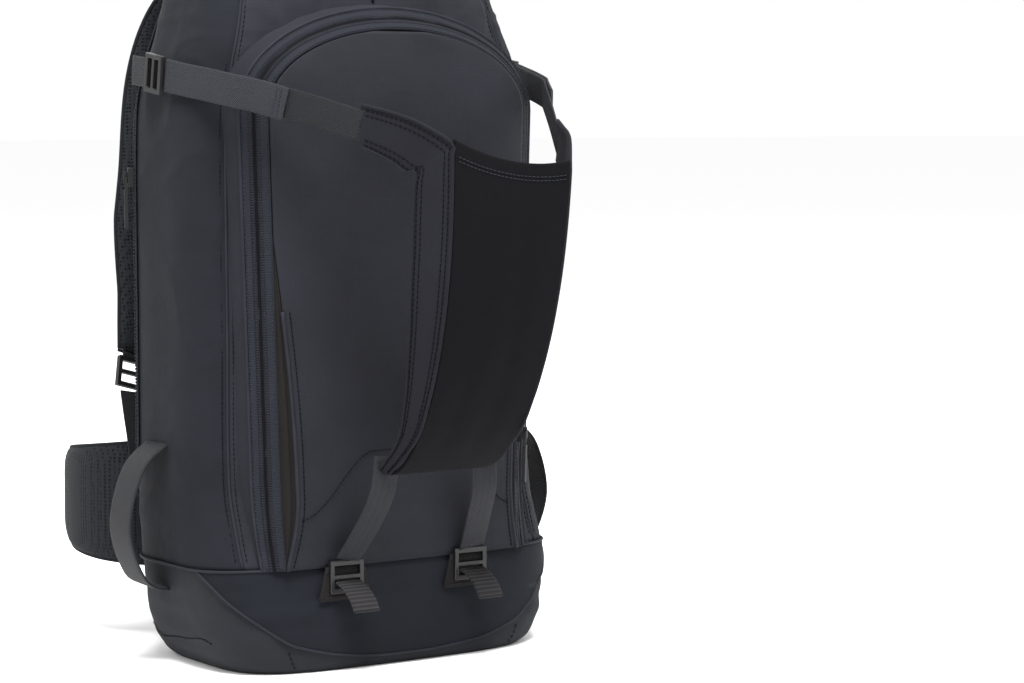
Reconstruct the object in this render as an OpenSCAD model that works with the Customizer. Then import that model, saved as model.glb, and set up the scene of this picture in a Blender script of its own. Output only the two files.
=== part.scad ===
// Ski backpack with a deployed sling for a full-face helmet.
// Standing upright on its base: +Z up, -Y the side away from the wearer, origin at the centre of the base.
// Fabric panels are sheets of a common lofted surface, so that neighbouring panels meet edge to edge.

/* [Bag] */
// Overall height of the bag, without its handle
bag_height = 532; // [500:1:560]
// Half of the greatest width
bag_half_width = 140; // [130:1:155]
// Thickness of the padded fabric walls
wall = 3.2; // [2.4:0.2:4]
// Roundness of the plan outline: 2 is an ellipse, and more is squarer
plan_power = 4; // [3:0.5:6]

/* [Front compartment] */
// Half width between the two straight runs of the zip, at the foot of its arch
zip_half_width = 109; // [100:1:116]
// How far each straight run leans inwards towards its foot
zip_taper = 9.5; // [0:0.5:14]
// Height where the arch of the zip springs from its straight runs
arch_spring = 376; // [360:1:385]
// Rise of the arch
arch_rise = 61; // [50:1:70]
// How far the middle of the front panel stands proud of its edge
panel_crown = 10; // [4:1:14]

/* [Helmet sling] */
// Half width of the sling's centre panel
sling_half_width = 45; // [44:1:56]
// Height of the sling's top hem
sling_top = 350; // [335:1:360]
// How far in front of the origin the top hem stands
sling_reach = 203; // [180:1:215]
// How much higher the left corner hangs than the middle
sling_tilt = 7; // [0:1:10]

/* [Webbing] */
// Width of the light webbing
webbing = 20; // [15:1:25]
// Width of the hip belt's webbing
belt_webbing = 38; // [30:1:40]
// Thickness of webbing
web_thick = 1.6; // [1.2:0.1:2]

/* [Hidden] */
$fn = 32;

charcoal = "#3c3d45";
navy = "#2b2e36";
black = "#1a1a20";
grey_fabric = "#34363b";
webbing_grey = "#3a3a40";
plastic = "#26262a";
alloy = "#b8bac0";

slide_gap = 0.35;      // clearance between parts that slide on each other
tape_thick = 1.2;
tape_width = 19;       // visible width of the closed zip
coil_width = 6;        // closed width of the zip's coils
coil_thick = 2.2;
seam_z = 70;           // height of the seam across the lower front
rim_z = 20;            // height of the base fabric's walls
lid_z = 430;           // height where the top panel is sewn on
sling_root_z = 135;    // height of the sling panel's lower edge
sling_root_y = -122;
lock_x = 50;
lock_z = 64;           // height of the lower ladderlocks

// Heights, half widths, backs and fronts of the bag's sections.
kz = bag_height / 532;
kx = bag_half_width / 140;
SECTIONS = [for (s = [[0, 116, 66, -80], [6, 124, 68, -85], [22, 133, 70, -86], [45, 138, 70, -82],
    [66, 140, 70, -79], [90, 140, 70, -69], [125, 140, 70, -58], [230, 140, 70, -57], [340, 140, 70, -56],
    [376, 138, 70, -54], [404, 131, 70, -51], [430, 122, 69, -47], [455, 114, 66, -40], [480, 102, 60, -29],
    [500, 86, 53, -17], [515, 66, 43, -4], [526, 42, 32, 5], [532, 18, 22, 11]])
    [s[0] * kz, s[1] * kx, s[2], s[3]]];

function below(z, i = 0) = i >= len(SECTIONS) - 2 || SECTIONS[i + 1][0] >= z ? i : below(z, i + 1);
function slope(i, k) =
    let(a = max(i - 1, 0), b = min(i + 1, len(SECTIONS) - 1))
    (SECTIONS[b][k] - SECTIONS[a][k]) / (SECTIONS[b][0] - SECTIONS[a][0]);
// One value of the section at height z, as a smooth curve through the table.
function section(z, k) =
    let(i = below(z), p = SECTIONS[i], q = SECTIONS[i + 1], h = q[0] - p[0], t = (z - p[0]) / h)
    (2 * t^3 - 3 * t^2 + 1) * p[k] + (t^3 - 2 * t^2 + t) * h * slope(i, k)
    + (3 * t^2 - 2 * t^3) * q[k] + (t^3 - t^2) * h * slope(i + 1, k);
function rounded(c) = sign(c) * pow(abs(c), 2 / plan_power);
// A point of the bag's surface at angle a round the plan and height z, moved inwards by inset.
function bag_point(a, z, inset = 0, drop = 0) =
    let(back = section(z, 2), front = section(z, 3))
    [(section(z, 1) - inset) * rounded(cos(a)),
     (back + front) / 2 + ((back - front) / 2 - inset) * rounded(sin(a)), z - drop];
function steps(a, b, n) = [for (i = [0:n]) a + (b - a) * i / n];
function unit(v) = v / norm(v);
// The direction out of the bag at angle a and height z.
function bag_out(a, z) = unit(cross(bag_point(a + 0.5, z) - bag_point(a - 0.5, z),
    bag_point(a, z + 1) - bag_point(a, z - 1)));
// Where the front of the bag's surface is, at x and height z.
function front_y(x, z) =
    let(back = section(z, 2), front = section(z, 3), h = (back - front) / 2)
    (back + front) / 2 - h * pow(max(0.01, 1 - pow(abs(x) / section(z, 1), plan_power)), 1 / plan_power);

// A smooth run of points through a list, n to each span.
function smooth(p, n = 6) =
    [for (i = [0:len(p) - 2], k = [0:n - 1])
        let(t = k / n, a = p[max(i - 1, 0)], b = p[i], c = p[i + 1], d = p[min(i + 2, len(p) - 1)])
        0.5 * (2 * b + (c - a) * t + (2 * a - 5 * b + 4 * c - d) * t^2 + (3 * b - a - 3 * c + d) * t^3),
     p[len(p) - 1]];
function mirrored(grid) = [for (row = grid) [for (j = [len(row) - 1:-1:0]) [-row[j][0], row[j][1], row[j][2]]]];
function columns(rows) = [for (i = [0:len(rows[0]) - 1]) [for (row = rows) row[i]]];
// A grid moved by d along its normals, away from its outer side.
function deeper(g, d) =
    let(r = len(g) - 1, c = len(g[0]) - 1)
    [for (i = [0:r]) [for (j = [0:c])
        let(u = g[min(i + 1, r)][j] - g[max(i - 1, 0)][j], v = g[i][min(j + 1, c)] - g[i][max(j - 1, 0)])
        g[i][j] + d * unit(cross(u, v))]];

// A closed sheet between two grids of points with the same rows and columns.
// With ring, the last column joins the first.
module sheet(outer, inner, ring = false) {
    r = len(outer) - 1;
    c = len(outer[0]) - 1;
    w = c + 1;
    n = (r + 1) * w;
    function o(i, j) = i * w + j % w;
    function m(i, j) = n + i * w + j % w;
    last = ring ? c : c - 1;
    faces = concat(
        [for (i = [0:r - 1], j = [0:last]) each [
            [o(i, j), o(i + 1, j), o(i + 1, j + 1)], [o(i, j), o(i + 1, j + 1), o(i, j + 1)],
            [m(i, j), m(i + 1, j + 1), m(i + 1, j)], [m(i, j), m(i, j + 1), m(i + 1, j + 1)]]],
        [for (j = [0:last]) each [
            [o(0, j), o(0, j + 1), m(0, j + 1)], [o(0, j), m(0, j + 1), m(0, j)],
            [o(r, j + 1), o(r, j), m(r, j)], [o(r, j + 1), m(r, j), m(r, j + 1)]]],
        ring ? [] : [for (i = [0:r - 1]) each [
            [o(i + 1, 0), o(i, 0), m(i, 0)], [o(i + 1, 0), m(i, 0), m(i + 1, 0)],
            [o(i, c), o(i + 1, c), m(i + 1, c)], [o(i, c), m(i + 1, c), m(i, c)]]]);
    polyhedron(points = [each for (row = outer) row, each for (row = inner) row], faces = faces, convexity = 6);
}

// A strap along a path, with its face towards out at each point, between lo and hi above the path.
module strip(path, out, width, lo, hi) {
    n = len(path) - 1;
    function along(i) = unit(path[min(i + 1, n)] - path[max(i - 1, 0)]);
    function face(i) = let(o = is_list(out[0]) ? out[i] : out, t = along(i)) unit(o - (o * t) * t);
    function wide(i) = (is_list(width) ? width[i] : width) / 2;
    function row(i, h) = let(d = cross(along(i), face(i)) * wide(i))
        [path[i] - d + face(i) * h, path[i] + d + face(i) * h];
    sheet([for (i = [0:n]) row(i, hi)], [for (i = [0:n]) row(i, lo)]);
}

// Puts a child at p with its Z along up and its -Y facing out.
module placed(p, up, out) {
    z = unit(up);
    y = -unit(out - (out * z) * z);
    x = cross(y, z);
    multmatrix([[x[0], y[0], z[0], p[0]], [x[1], y[1], z[1], p[1]], [x[2], y[2], z[2], p[2]], [0, 0, 0, 1]])
        children();
}

// ---------------------------------------------------------------- bag

upper_rows = concat([seam_z + 0.6, 80, 92, 108], steps(125, 340, 6), [358, 376, 392, 410, lid_z]);
// How high the skirt's lower edge is, by the plan angle away from the middle of the front.
function skirt_edge(turn) = lookup(turn, [[0, 7], [13, 12], [28, rim_z], [40, 33], [56, 49], [76, seam_z]]);
function skirt_turn(z) = lookup(z, [[rim_z, 28], [33, 40], [49, 56], [seam_z, 76]]);

module base_panel() {
    color(grey_fabric) linear_extrude(wall)
        polygon([for (i = [0:71]) let(p = bag_point(5 * i, 0)) [p[0], p[1]]]);
}

module base_rim() {
    function grid(inset) = [for (k = [0:3]) [for (i = [0:71])
        let(a = 5 * i, top = min(rim_z, skirt_edge(abs(a - 270) > 180 ? 180 : abs(a - 270))))
        bag_point(a, wall + 0.01 + (top - wall - 0.01) * k / 3, inset)]];
    color(grey_fabric) sheet(grid(0), grid(wall), true);
}

module lower_front_panel() {
    function grid(inset) = [for (k = [0:4]) [for (i = [0:30])
        let(turn = 75.5 * (i - 15) / 15, low = skirt_edge(abs(turn)))
        bag_point(270 + turn, low + (seam_z - low) * k / 4, inset)]];
    color(navy) sheet(grid(0), grid(wall));
}

module left_side_panel() {
    rows = concat([rim_z, 33, 49, seam_z], upper_rows);
    function grid(inset) = [for (z = rows) let(end = z <= seam_z ? 270 - skirt_turn(z) : 225)
        [for (i = [0:14]) bag_point(135 + (end - 135) * i / 14, z, inset)]];
    color(navy) sheet(grid(0), grid(wall));
}

module right_side_panel() {
    rows = concat([rim_z, 33, 49, seam_z], upper_rows);
    function grid(inset) = [for (z = rows) let(end = z <= seam_z ? 270 - skirt_turn(z) : 225)
        [for (i = [0:14]) bag_point(135 + (end - 135) * i / 14, z, inset)]];
    color(navy) sheet(mirrored(grid(0)), mirrored(grid(wall)));
}

module front_divider() {
    function grid(inset) = [for (z = upper_rows) [for (i = [0:14]) bag_point(225 + 90 * i / 14, z, inset)]];
    color(charcoal) sheet(grid(0), grid(wall));
}

module back_wall() {
    rows = concat([rim_z, 33, 49, seam_z], upper_rows);
    function grid(inset) = [for (z = rows) [for (i = [0:14]) bag_point(45 + 90 * i / 14, z, inset)]];
    color(black) sheet(grid(0), grid(wall));
}

module top_panel() {
    zs = concat(steps(lid_z, 500, 5), [508, 515, 521, 526, 530, bag_height]);
    rows = len(zs);
    count = 56;
    function ring(k, inset) = [for (i = [0:count - 1])
        bag_point(360 * i / count, zs[k], inset, inset * max(0, (zs[k] - 470) / (bag_height - 470)))];
    points = [each for (k = [0:rows - 1]) ring(k, 0), each for (k = [0:rows - 1]) ring(k, wall)];
    n = rows * count;
    function o(k, i) = k * count + i % count;
    faces = concat(
        [for (k = [0:rows - 2], i = [0:count - 1]) each [
            [o(k, i), o(k + 1, i), o(k + 1, i + 1)], [o(k, i), o(k + 1, i + 1), o(k, i + 1)],
            [n + o(k, i), n + o(k + 1, i + 1), n + o(k + 1, i)],
            [n + o(k, i), n + o(k, i + 1), n + o(k + 1, i + 1)]]],
        [for (i = [0:count - 1]) each [
            [o(0, i), o(0, i + 1), n + o(0, i + 1)], [o(0, i), n + o(0, i + 1), n + o(0, i)]]],
        [[for (i = [count - 1:-1:0]) o(rows - 1, i)], [for (i = [0:count - 1]) n + o(rows - 1, i)]]);
    color(charcoal) polyhedron(points = points, faces = faces, convexity = 6);
}

// ---------------------------------------------------------------- front compartment

half_band = 6.75;      // half of the zip band's breadth, across the bag and also in depth
sling_lean = 4.5;      // how far the sling's hem hangs to the right
function leg_x(z) = zip_half_width - zip_taper * max(0, arch_spring - z) / (arch_spring - seam_z);
function foot(z) = max(0, 1 - (z - seam_z) / 60)^2;
function band_out_y(z) = -62 - 10.5 * foot(z);
function band_in_y(z) = -75.5 - 5 * foot(z);
leg_rows = concat([seam_z + 0.4, 78, 88, 100, 115], steps(130, arch_spring, 6));
// The zip's outline moved outwards by grow, from its left foot over the arch to its right foot.
function zip_line(grow) = concat(
    [for (z = leg_rows) [-leg_x(z) - grow, z]],
    [for (i = [1:21]) let(a = 180 - 180 * i / 22)
        [(zip_half_width + grow) * cos(a), arch_spring + (arch_rise + grow) * sin(a)]],
    [for (i = [len(leg_rows) - 1:-1:0]) [leg_x(leg_rows[i]) + grow, leg_rows[i]]]);
// One edge of the zip band: at share t from its outer edge to its inner edge, sunk by depth.
function band_line(t, depth = 0) =
    [for (p = zip_line(half_band * (1 - 2 * t) - depth * 0.7))
        [p[0], band_out_y(p[1]) * (1 - t) + band_in_y(p[1]) * t + depth * 0.7, p[1]]];

module front_gusset() {
    function back(grow) = [for (p = zip_line(grow)) [p[0], min(front_y(p[0], p[1]) - 0.4, band_out_y(p[1]) + 1.6), p[1]]];
    function front(grow) = [for (p = zip_line(grow)) [p[0], band_out_y(p[1]) + 0.9, p[1]]];
    color(navy) sheet(columns([back(half_band), front(half_band)]),
        columns([back(half_band - 1.8), front(half_band - 1.8)]));
}

module front_zip() {
    color(webbing_grey) {
        sheet(columns([band_line(0), band_line(1)]), columns([band_line(0, tape_thick), band_line(1, tape_thick)]));
        coil = coil_width / tape_width / 2;
        sheet(columns([band_line(0.5 - coil, -coil_thick), band_line(0.5 + coil, -coil_thick)]),
            columns([band_line(0.5 - coil, 0.1), band_line(0.5 + coil, 0.1)]));
    }
}

// How far the bellows under the front panel stands open at height z, from 0 to 1.
function bellows(z) = z < 120 ? sin(90 * max(0, z - 72) / 48) : z < 290 ? cos(90 * (z - 120) / 170) : 0;
function panel_edge_x(z) =
    let(x = zip_half_width - half_band - 0.5, h = arch_rise - half_band - 0.5)
    z <= arch_spring ? leg_x(z) - half_band - 0.5 - 8 * bellows(z) : x * sqrt(max(0.001, 1 - ((z - arch_spring) / h)^2));
function panel_edge_y(z) = band_in_y(z) - 0.5 - 7 * bellows(z);
panel_rows = concat([seam_z + 0.5, 76, 86, 100, 120], steps(150, arch_spring, 6), [390, 401, 411, 419, 425, 428.6]);
module front_panel() {
    function face(d) = [for (z = panel_rows)
        let(v = sin(90 * min(1, (z - seam_z) / 110)) * sin(90 * min(1, (431 - z) / 70)))
        [for (i = [0:16]) let(u = -1 + i / 8)
            [u * panel_edge_x(z), panel_edge_y(z) - panel_crown * (1 - u^4) * v + d, z]]];
    color(charcoal) sheet(face(0), face(2.2));
}

module front_bellows() {
    rows = [78, 88, 100, 120, 145, 170, 200, 230, 260, 280];
    grid = [for (z = rows) [[-leg_x(z) + half_band + 0.3, band_in_y(z) + 2.2, z],
        [-panel_edge_x(z) - 0.4, panel_edge_y(z) + 1.2, z]]];
    color("#212227") {
        sheet(grid, deeper(grid, 1));
        sheet(mirrored(grid), deeper(mirrored(grid), 1));
    }
}

// A slider: its travel along Z, its face towards -Y, and the tape's face at y = 0.
module slider_body() {
    difference() {
        union() {
            translate([-4.9, -4.8, -6.5]) cube([9.8, 4.8 - slide_gap, 13]);
            translate([-1.6, -7.4, -4]) cube([3.2, 2.8, 8]);
        }
        translate([-coil_width / 2 - slide_gap, -coil_thick - slide_gap, -10]) cube([coil_width + 2 * slide_gap, 5, 20]);
        translate([-5, -6, 0]) rotate([0, 90, 0]) cylinder(r = 0.88, h = 10);
    }
}
// The slider's pull: a wire bail through the body and a moulded grip, hanging down.
module slider_pull(grip = 26) {
    translate([-3.5, -6, 0]) rotate([0, 90, 0]) cylinder(r = 0.8, h = 7);
    for (x = [-3.5, 2.1]) translate([x, -6.7, -9.5]) cube([1.4, 1.4, 10.2]);
    translate([-3.8, -7.2, -9 - grip]) cube([7.6, 2.4, grip]);
}

leg_dir = [zip_taper / (arch_spring - seam_z), 0, 1];
module on_right_run(z) {
    out = cross(leg_dir, [-1, -1, 0]);
    placed([leg_x(z), (band_out_y(z) + band_in_y(z)) / 2, z], leg_dir, out) children();
}
module front_slider() { color(alloy) on_right_run(150) slider_body(); }
module front_pull() { color(plastic) on_right_run(150) slider_pull(); }

// ---------------------------------------------------------------- zips of the lid and the main compartment

lid_zip_z = 492;
lid_out = bag_out(270, lid_zip_z);
lid_mid = bag_point(270, lid_zip_z) + lid_out * 0.6;
module lid_zip() {
    line = [for (x = steps(-56, 56, 2)) lid_mid + [x, 0, 0]];
    color(webbing_grey) {
        strip(line, lid_out, 17, 0, tape_thick);
        strip(line, lid_out, coil_width, tape_thick - 0.1, tape_thick + coil_thick);
    }
}
module on_lid(x) { placed(lid_mid + lid_out * tape_thick + [x, 0, 0], [1, 0, 0], lid_out) children(); }
module lid_slider() { color(alloy) on_lid(44) slider_body(); }
module lid_pull() { color(plastic) on_lid(44) slider_pull(); }

main_turn = 160;       // plan angle of the main zip's straight runs
main_angles = concat([for (z = steps(140, 360, 5)) main_turn],
    [for (i = [1:12]) main_turn - (main_turn - 90) * pow(i / 12, 1.3)]);
main_heights = concat(steps(140, 360, 5), [for (i = [1:12]) 360 + 140 * sin(90 * i / 12)]);
main_path = concat(
    [for (i = [0:len(main_angles) - 1]) bag_point(main_angles[i], main_heights[i])],
    [for (i = [len(main_angles) - 2:-1:0]) bag_point(180 - main_angles[i], main_heights[i])]);
main_out = concat(
    [for (i = [0:len(main_angles) - 1]) bag_out(main_angles[i], main_heights[i])],
    [for (i = [len(main_angles) - 2:-1:0]) bag_out(180 - main_angles[i], main_heights[i])]);
module main_zip() {
    color(webbing_grey) {
        strip(main_path, main_out, 17, 0.7, 0.7 + tape_thick);
        strip(main_path, main_out, coil_width, 0.6 + tape_thick, 0.7 + tape_thick + coil_thick);
    }
}
module on_side(left, z) {
    a = left ? main_turn : 180 - main_turn;
    out = bag_out(a, 230);
    placed(bag_point(a, z) + out * (0.7 + tape_thick), [0, 0, 1], out) children();
}
module main_slider_left() { color(alloy) on_side(true, 330) slider_body(); }
module main_slider_right() { color(alloy) on_side(false, 330) slider_body(); }
module main_pull_left() { color(plastic) on_side(true, 330) slider_pull(); }
module main_pull_right() { color(plastic) on_side(false, 330) slider_pull(); }

// ---------------------------------------------------------------- back

module frame_sheet() {
    color("#d8d8d4") translate([-70, 63.2, 52]) cube([140, 1.4, 358]);
}
module frame_stays() {
    color(alloy) for (x = [-50, 50]) translate([x - 7.5, 60, 58]) cube([15, 3, 346]);
}
module back_pads() {
    color(black) for (s = [-1, 1]) translate([s * 56 - 34, 70.6, 190]) cube([68, 12, 236]);
}
module lumbar_pad() {
    color(black) translate([-92, 70.6, 48]) cube([184, 12, 96]);
}

strap_line = [[46, 68.5, 450], [47, 90, 460], [50, 114, 458], [56, 132, 430], [63, 138, 390], [70, 138, 330],
    [84, 130, 276], [98, 116, 230], [106, 107, 204]];
strap_out = [[0, -0.4, 1], [0, 0, 1], [0, 0.6, 0.8], [0, 1, 0.3], [0, 1, 0], [0.05, 1, -0.1], [0.1, 1, -0.3],
    [0.12, 1, -0.3], [0.12, 1, -0.3]];
module shoulder_strap(s) {
    path = [for (p = smooth(strap_line, 5)) [p[0] * s, p[1], p[2]]];
    out = [for (p = smooth(strap_out, 5)) unit([p[0] * s, p[1], p[2]])];
    n = len(path) - 1;
    wide = [for (i = [0:n]) let(t = i / n) 50 + 16 * sin(180 * min(1, t * 1.15)) - 22 * max(0, t - 0.7) / 0.3];
    color(black) strip(path, out, wide, -6, 6);
}
module load_lifters() {
    color(webbing_grey) for (s = [-1, 1])
        strip([[s * 48, 63.5, 490], [s * 49, 90, 481], [s * 51, 112, 471], [s * 53, 124, 462]],
            [[0, 0.2, 1], [0, 0.3, 1], [0, 0.5, 1], [0, 0.7, 0.7]], 15, 0, web_thick);
}
module ladderlock(wide, long = 22, thick = 4) {
    difference() {
        translate([-wide / 2 - 3, -thick / 2, -long / 2]) cube([wide + 6, thick, long]);
        for (z = [-long / 2 + 3.4, 1.4]) translate([-wide / 2, -thick, z]) cube([wide, 2 * thick, long / 2 - 4.8]);
    }
}
module strap_adjusters() {
    color(plastic) for (s = [-1, 1])
        placed([s * 110.5, 102.4, 189.6], [-s * 0.27, 0.3, 1], [s * 0.12, 1, -0.3]) ladderlock(webbing);
}
module lower_webbings() {
    color(webbing_grey) for (s = [-1, 1])
        strip(smooth([[s * 113.9, 98.4, 177], [s * 116.3, 88.5, 152], [s * 120, 75, 122], [s * 119.5, 62.5, 92],
            [s * 117.8, 58.4, 62]], 3), smooth([[s * 0.2, 1, 0.3], [s * 0.3, 1, 0.3], [s * 0.5, 1, 0.2], [s * 0.7, 0.7, 0],
            [s * 0.7, 0.7, 0]], 3), webbing, 0, web_thick);
}

// ---------------------------------------------------------------- sternum strap

sternum_z = 352;
sternum_y = 158;
module sternum_rails() {
    color(plastic) for (s = [-1, 1]) translate([s * 66, 150.6, sternum_z - 46]) cylinder(r = 1.6, h = 92);
}
module sternum_sliders() {
    color(plastic) for (s = [-1, 1]) translate([s * 66, 150.6, sternum_z]) difference() {
        translate([-7, -3.2, -11]) cube([14, 8.6, 22]);
        translate([0, 0, -20]) cylinder(r = 1.6 + slide_gap, h = 40);
    }
}
// A side-release buckle for webbing of width w, lying across the body with its mouth towards +X.
module buckle_female(w, long, thick) {
    difference() {
        translate([-long, -thick / 2, -w / 2 - 2.5]) cube([long, thick, w + 5]);
        translate([-long * 0.66, -thick / 2 + 1.6, -w / 2]) cube([long, thick - 3.2, w]);
        for (s = [-1, 1]) translate([-long * 0.55, -thick, s * (w / 2 + 1) - 3]) cube([long * 0.3, 2 * thick, 6]);
        translate([-long + 3, -thick, -w / 2 + 1]) cube([3.6, 2 * thick, w - 2]);
    }
}
module buckle_male(w, long, thick) {
    t = thick - 3.2 - 2 * slide_gap;
    difference() {
        union() {
            translate([slide_gap, -thick / 2, -w / 2 - 2.5]) cube([long * 0.5, thick, w + 5]);
            translate([-long * 0.55, -t / 2, -1.6]) cube([long * 0.55 + 2, t, 3.2]);
            for (s = [-1, 1]) {
                translate([-long * 0.5, -t / 2, s * (w / 2 - 3) - 1.6]) cube([long * 0.5 + 2, t, 3.2]);
                translate([-long * 0.5, -t / 2, s * (w / 2 - 2.2) - 1.8]) cube([long * 0.2, t, 3.6]);
            }
        }
        translate([long * 0.3, -thick, -w / 2 + 1]) cube([3.6, 2 * thick, w - 2]);
    }
}

sternum_long = 30;
module at_sternum() { translate([0, sternum_y, sternum_z]) children(); }
module sternum_female() { color(plastic) at_sternum() buckle_female(webbing, sternum_long, 9); }
module sternum_male() { color(plastic) at_sternum() buckle_male(webbing, sternum_long, 9); }
module sternum_webbing_left() {
    color(webbing_grey) translate([-70, sternum_y - 0.8, sternum_z - 9]) cube([70 - sternum_long - 0.3, web_thick, 18]);
}
module sternum_webbing_right() {
    color(webbing_grey) translate([16, sternum_y - 0.8, sternum_z - 9]) cube([54, web_thick, 18]);
}

// ---------------------------------------------------------------- hip belt

belt_z = 98;
hip_y = 214;
hip_long = 46;
wing_line = [[68, 89.4], [90, 91], [112, 99], [130, 121], [133, 150], [121, 178], [98, 197], [72, 205]];
wing_out = [[0, 1], [0.15, 1], [0.6, -0.7], [1, -0.5], [1, 0.1], [0.75, 0.6], [0.5, 0.85], [0.25, 1]];
function wing_path(s, lift) = [for (p = smooth(wing_line, 4)) [s * p[0], p[1], belt_z]];
module hip_wing(s) {
    path = wing_path(s, 0);
    n = len(path) - 1;
    function out(i) = let(t = unit(path[min(i + 1, n)] - path[max(i - 1, 0)])) cross(t, [0, 0, s]);
    color(black) strip(path, [for (i = [0:n]) out(i)], [for (i = [0:n]) 92 - 44 * pow(i / n, 1.5)], -5.5, 5.5);
}
module hip_webbing_left() {
    path = smooth([[-120, 189.5, belt_z], [-100, 204.4, belt_z], [-76, hip_y - 0.6, belt_z], [-60, hip_y, belt_z], [-46.4, hip_y, belt_z]], 3);
    color(webbing_grey) strip(path, [-0.3, 1, 0], belt_webbing, -web_thick / 2, web_thick / 2);
}
module hip_webbing_right() {
    color(webbing_grey) translate([24, hip_y - 0.8, belt_z - belt_webbing / 2]) cube([66, web_thick, belt_webbing]);
}
module at_hip() { translate([0, hip_y, belt_z]) children(); }
module hip_female() { color(plastic) at_hip() buckle_female(belt_webbing, hip_long, 12); }
module hip_male() { color(plastic) at_hip() buckle_male(belt_webbing, hip_long, 12); }

// ---------------------------------------------------------------- handle and loops

module grab_handle() {
    line = smooth([[-33, 70.6, 480], [-32, 71, 508], [-22, 72, 536], [0, 72, 548], [22, 72, 536], [32, 71, 508], [33, 70.6, 480]], 4);
    n = len(line) - 1;
    color(webbing_grey) strip(line, [for (i = [0:n]) [-cos(180 * i / n), 0, sin(180 * i / n)]], 25, 0, 2.4);
}
module ski_loops() {
    color(webbing_grey) for (s = [-1, 1]) {
        line = smooth([[s * 141, 10, 54], [s * 158, 8, 62], [s * 170, 6, 96], [s * 160, 6, 134], [s * 141, 8, 150]], 4);
        n = len(line) - 1;
        strip(line, [for (i = [0:n]) [s * (0.3 + sin(180 * i / n)), 0, -cos(180 * i / n)]], 30, 0, 2.2);
    }
}

// ---------------------------------------------------------------- helmet sling

function sling_y(t) = sling_root_y - (sling_reach + sling_root_y) * sin(90 * pow(t, 0.6));
function sling_z(t) = sling_root_z + (sling_top - sling_root_z) * t;
function sling_half(t) = sling_half_width - 7 * (1 - t);
function hang(x, t) = -sling_tilt * x / sling_half_width * t;
// The centre panel: u runs from -1 to 1 across it, and t from 0 to 1 up it.
function sling_point(u, t) =
    let(x = u * sling_half(t))
    [x + sling_lean * t, sling_y(t) - 3 * (1 - u * u) * sin(180 * t), sling_z(t) - 7 * (1 - u * u) * t^3 + hang(x, t)];
sling_thick = 2.4;
module sling_panel() {
    grid = [for (t = steps(0, 1, 12)) [for (u = steps(-1, 1, 8)) sling_point(u, t)]];
    color(black) sheet(grid, deeper(grid, sling_thick));
}
// One wing: from the webbing to the panel's corner, and then down the panel's edge as a band folded back.
function wing_edge(s) = concat(
    [for (p = [[77, -151, 374, 0], [68, -167, 369.5, 0.4], [59, -184, 363, 0.8]])
        [s * p[0] + sling_lean * p[3], p[1], p[2] - s * 5]],
    [[s * (sling_half(1) + 0.9) + sling_lean, sling_y(1) + 1.4, sling_top - s * sling_tilt - 1.5]],
    [for (t = [0.965, 0.93, 0.88, 0.8, 0.7, 0.6, 0.48, 0.36, 0.24, 0.12, 0])
        let(p = sling_point(s, t)) [p[0] + s * 0.7, p[1] + 0.4, p[2]]]);
function wing_hem(s) = concat(
    [for (p = [[77, -151, 347, 0], [71, -160, 342, 0.3], [66, -168, 336.5, 0.7], [62.5, -174, 331, 1]])
        [s * p[0] + sling_lean * p[3], p[1], p[2] - s * 5]],
    [for (q = [[0.91, 26.5], [0.87, 27.5], [0.82, 28], [0.76, 28], [0.68, 27.5], [0.59, 27], [0.48, 25], [0.36, 22],
        [0.24, 18], [0.12, 14], [0, 10]])
        let(p = sling_point(s, q[0])) [p[0] + s * q[1] * 0.52, p[1] + q[1] * 0.85, p[2]]]);
module sling_wing(s) {
    a = wing_edge(s);
    b = wing_hem(s);
    left = [for (i = [0:len(a) - 1]) [for (t = steps(0, 1, 4)) a[i] * (1 - t) + b[i] * t]];
    grid = s < 0 ? left : [for (row = left) [for (j = [4:-1:0]) row[j]]];
    color(charcoal) sheet(grid, deeper(grid, 1.6));
}
side_line = [[77.2, -150.6, 360.5], [97, -115.2, 374.5], [116.5, -80.4, 386], [122, -71, 388], [129, -50, 392],
    [136, -26, 396], [139.5, -10, 399]];
function side_run(s) = [for (p = side_line) [s * p[0], p[1], p[2] - (p[0] < 90 ? s * 5 : p[0] < 100 ? s * 2.5 : 0)]];
side_out = [[0.87, -0.49, 0], [0.87, -0.49, 0], [0.9, -0.44, 0], [0.95, -0.3, 0], [0.96, -0.27, 0], [0.97, -0.22, 0], [1, -0.1, 0]];
module sling_webbings() {
    color(webbing_grey) for (s = [-1, 1])
        strip(smooth(side_run(s), 3), [for (p = smooth(side_out, 3)) [s * p[0], p[1], p[2]]], webbing, -0.2, web_thick - 0.2);
}
module sling_returns() {
    color(webbing_grey) for (s = [-1, 1]) {
        line = smooth([[103.5, -103.5, 379.5], [116.5, -80.4, 386], [122, -71, 388], [129, -50, 392], [136, -26, 396], [139.5, -10, 399]], 3);
        out = smooth([for (i = [1:6]) side_out[i]], 3);
        strip([for (p = line) [s * p[0], p[1], p[2]]], [for (p = out) [s * p[0], p[1], p[2]]], webbing + 2, 2, 3.6);
    }
}
module sling_ladderlocks_upper() {
    color(plastic) for (s = [-1, 1])
        placed([s * 143.5, 3.2, 400], [0, 1, 0.15], [s, 0, 0]) ladderlock(webbing);
}
module sling_ladderlocks_lower() {
    color(plastic) for (s = [-1, 1])
        placed([s * lock_x, -85.8, lock_z], [0, 0, 1], [0, -1, 0]) ladderlock(webbing);
}
module sling_tabs() {
    color(grey_fabric) for (s = [-1, 1]) {
        translate([s * lock_x - 14, -83.4, lock_z - 12]) cube([28, 1.4, 18]);
        strip([[s * 139.8, 40, 403], [s * 141, 28, 402], [s * 142.6, 14.6, 401]], [s, 0, 0], webbing, -0.2, 1.4);
    }
}
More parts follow.
